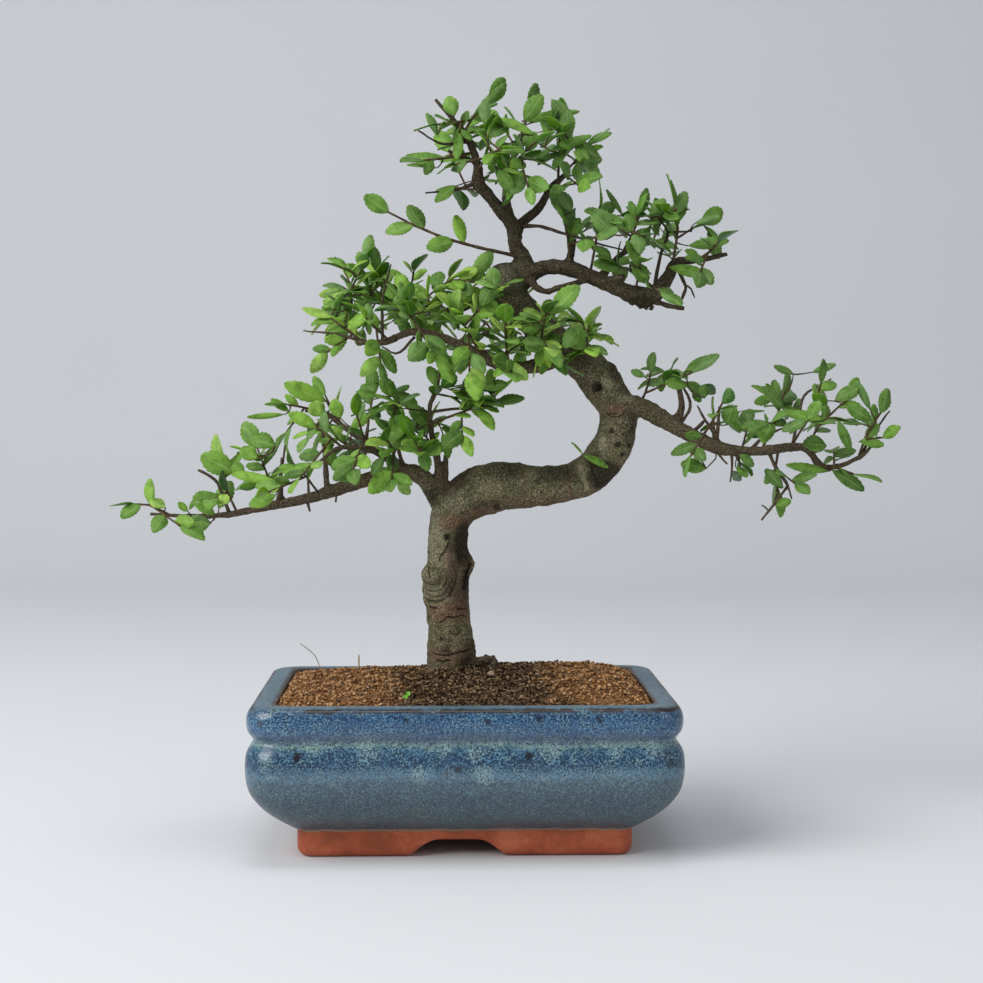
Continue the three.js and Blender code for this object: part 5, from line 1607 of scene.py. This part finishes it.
def makeHairs():
    # a dry root hair, a spike that stands in the soil, and short straws
    hairs = bmesh.new()
    tubeInto(hairs, framesAlong([point + (litter["hairRadius"],) for point in litter["hair"]], 16), 6)
    tubeInto(hairs, framesAlong([point + (litter["spikeRadius"],) for point in litter["spike"]], 4), 6)
    draw = draws(815)
    trunkX, trunkY = soil["trunk"]
    for _ in range(litter["straws"]):
        x, y = -30 + 76 * next(draw), -52 + 64 * next(draw)
        turn, half = 3.1 * next(draw), 1.6 + 2.6 * next(draw)
        bend, lift = 1.4 * (next(draw) - 0.5), 0.5 + 0.5 * next(draw)
        line = []
        for step in (-1, 0, 1):
            strawX = x + step * half * math.cos(turn) + (step == 0) * bend
            strawY = y + step * half * math.sin(turn)
            strawZ = soilHeight(strawX, strawY) + lift + 0.4 * (step == 0)
            line.append((strawX, strawY, strawZ, litter["strawRadius"]))
        if math.hypot(x - trunkX, y - trunkY) > 20:
            tubeInto(hairs, framesAlong(line, 5), 5)
    finish = plainFinish("dryRootHair", 0.8, 0.2, (500, 2), [(0.4, 146, 122, 94), (0.6, 182, 160, 130)])
    finishPiece("dryRootHair", hairs, [finish])


makeSoilBed()
makeCrumbs()
makeStones()
makeChips()
makeHairs()
print("soil made")

# The seedling
seedling = dict(
    foot=(-28, -52, 70), rise=7.8, radii=(0.5, 0.4), broad=1.8,
    # the way each leaf grows and its size
    leaves=[(0.35, 0, 0.95, 0.17), (-0.65, 0, 0.5, 0.16), (0.3, -0.5, -0.6, 0.13)],
)


def makeSeedling():
    x, y, low = seedling["foot"]
    top = low + seedling["rise"]
    foot, head = seedling["radii"]
    draw = draws(99)
    sprout = tonedMesh()
    toViewer = np.array((0, -0.8, 0.6))
    for number, (*way, size) in enumerate(seedling["leaves"]):
        axis = unit(np.array(way, float))
        face = unit(toViewer - axis * toViewer.dot(axis))
        root = (x + 0.3, y - 0.2, top - 0.5 - number)
        addLeaf(sprout, dict(root=root, axis=axis, face=face, size=size, broad=seedling["broad"]), draw)
    tubeInto(sprout, framesAlong([(x, y, low, foot), (x + 0.4, y - 0.3, top, head)], 8), 8)
    stops = [(0.3, 96, 170, 44), (0.7, 146, 206, 74)]
    fresh = plainFinish("freshSprout", 0.5, 0.4, (400, 2), stops, (900, 2, 0.3, 0.0002))
    finishPiece("sprout", sprout, [fresh], ["seedling"])


def dressScreens():
    # the screens over the drain holes keep their solids
    stops = [(0.3, 34, 37, 36), (0.7, 56, 60, 58)]
    finish = plainFinish("screenMesh", 0.55, 0.4, (600, 2), stops, (1800, 2, 0.4, 0.0002))
    for name in ("drain_screen_left", "drain_screen_right"):
        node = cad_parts[name]
        node.data.materials.clear()
        node.data.materials.append(finish.material)


makeSeedling()
dressScreens()
print("seedling and screens made")

# The studio
studio = dict(
    turn=0.027, dip=math.atan(80.5 / 1854), focal=1854, picture=983, sensor=36,
    floorWidth=6, floorFront=-3, backdrop=1.3, bend=0.7, bendSteps=16, wallTop=3.2,
    lights=[  # name, place in metres, size, power and what it looks at
        ("keyLight", (-1.45, -1.05, 1.4), 1.6, 36, (0, 0, 0.2)),
        ("fillLight", (1.4, -1.2, 0.9), 1.5, 3, (0, 0, 0.2)),
        ("topLight", (-0.1, -0.1, 1.9), 0.9, 7.5, (0, 0, 0.1)),
    ],
    world=0.42, air=(0.86, 0.89, 0.93, 1),
)


def makeSweep():
    # a floor that bends up into a wall
    floor = bmesh.new()
    half, bend, steps = studio["floorWidth"] / 2, studio["bend"], studio["bendSteps"]
    edge = floor.edges.new([floor.verts.new((x, studio["floorFront"], 0)) for x in (-half, half)])
    ways = [(0, studio["backdrop"] - studio["floorFront"], 0)]
    for step in range(steps):
        a, b = step / steps * math.pi / 2, (step + 1) / steps * math.pi / 2
        ways.append((0, bend * (math.sin(b) - math.sin(a)), bend * (math.cos(a) - math.cos(b))))
    ways.append((0, 0, studio["wallTop"]))
    for way in ways:
        pulled = bmesh.ops.extrude_edge_only(floor, edges=[edge])["geom"]
        edge = [part for part in pulled if isinstance(part, bmesh.types.BMEdge)][0]
        bmesh.ops.translate(floor, vec=way, verts=edge.verts[:])
    bmesh.ops.recalc_face_normals(floor, faces=floor.faces[:])
    sweep = addObject("sweep", meshOf("sweep", floor, True))
    paper = Finish("palePaper", 0.9, 0.1)
    tone = paper.span(paper.grain(2, 2), 0.3, 0.7)
    paper.set("Base Color", paper.blend(tone, (0.74, 0.755, 0.775, 1), (0.76, 0.775, 0.795, 1)))
    sweep.data.materials.append(paper.material)


def makeLights():
    for name, spot, size, power, target in studio["lights"]:
        lamp = bpy.data.lights.new(name, "AREA")
        lamp.shape = "DISK"
        lamp.size = size
        lamp.energy = power
        holder = addObject(name, lamp)
        holder.location = spot
        holder.rotation_euler = (Vector(target) - Vector(spot)).to_track_quat("-Z", "Y").to_euler()
    world = bpy.data.worlds.new("studioAir")
    world.use_nodes = True
    background = world.node_tree.nodes["Background"]
    background.inputs["Color"].default_value = studio["air"]
    background.inputs["Strength"].default_value = studio["world"]
    bpy.context.scene.world = world
    bpy.context.scene.view_settings.view_transform = "Standard"


def makeCamera():
    turn, dip = studio["turn"], studio["dip"]
    forward = Vector((math.sin(turn) * math.cos(dip), math.cos(turn) * math.cos(dip), -math.sin(dip)))
    right = Vector((math.cos(turn), -math.sin(turn), 0))
    view = bpy.data.cameras.new("view")
    view.lens = studio["focal"] / studio["picture"] * studio["sensor"]
    view.sensor_width = studio["sensor"]
    view.clip_start, view.clip_end = 0.02, 20
    pose = Matrix((right, right.cross(forward), -forward)).transposed().to_4x4()
    pose.translation = place(eye)
    holder = addObject("view", view)
    holder.matrix_world = pose
    bpy.context.scene.camera = holder


makeSweep()
makeLights()
makeCamera()
print("studio made")
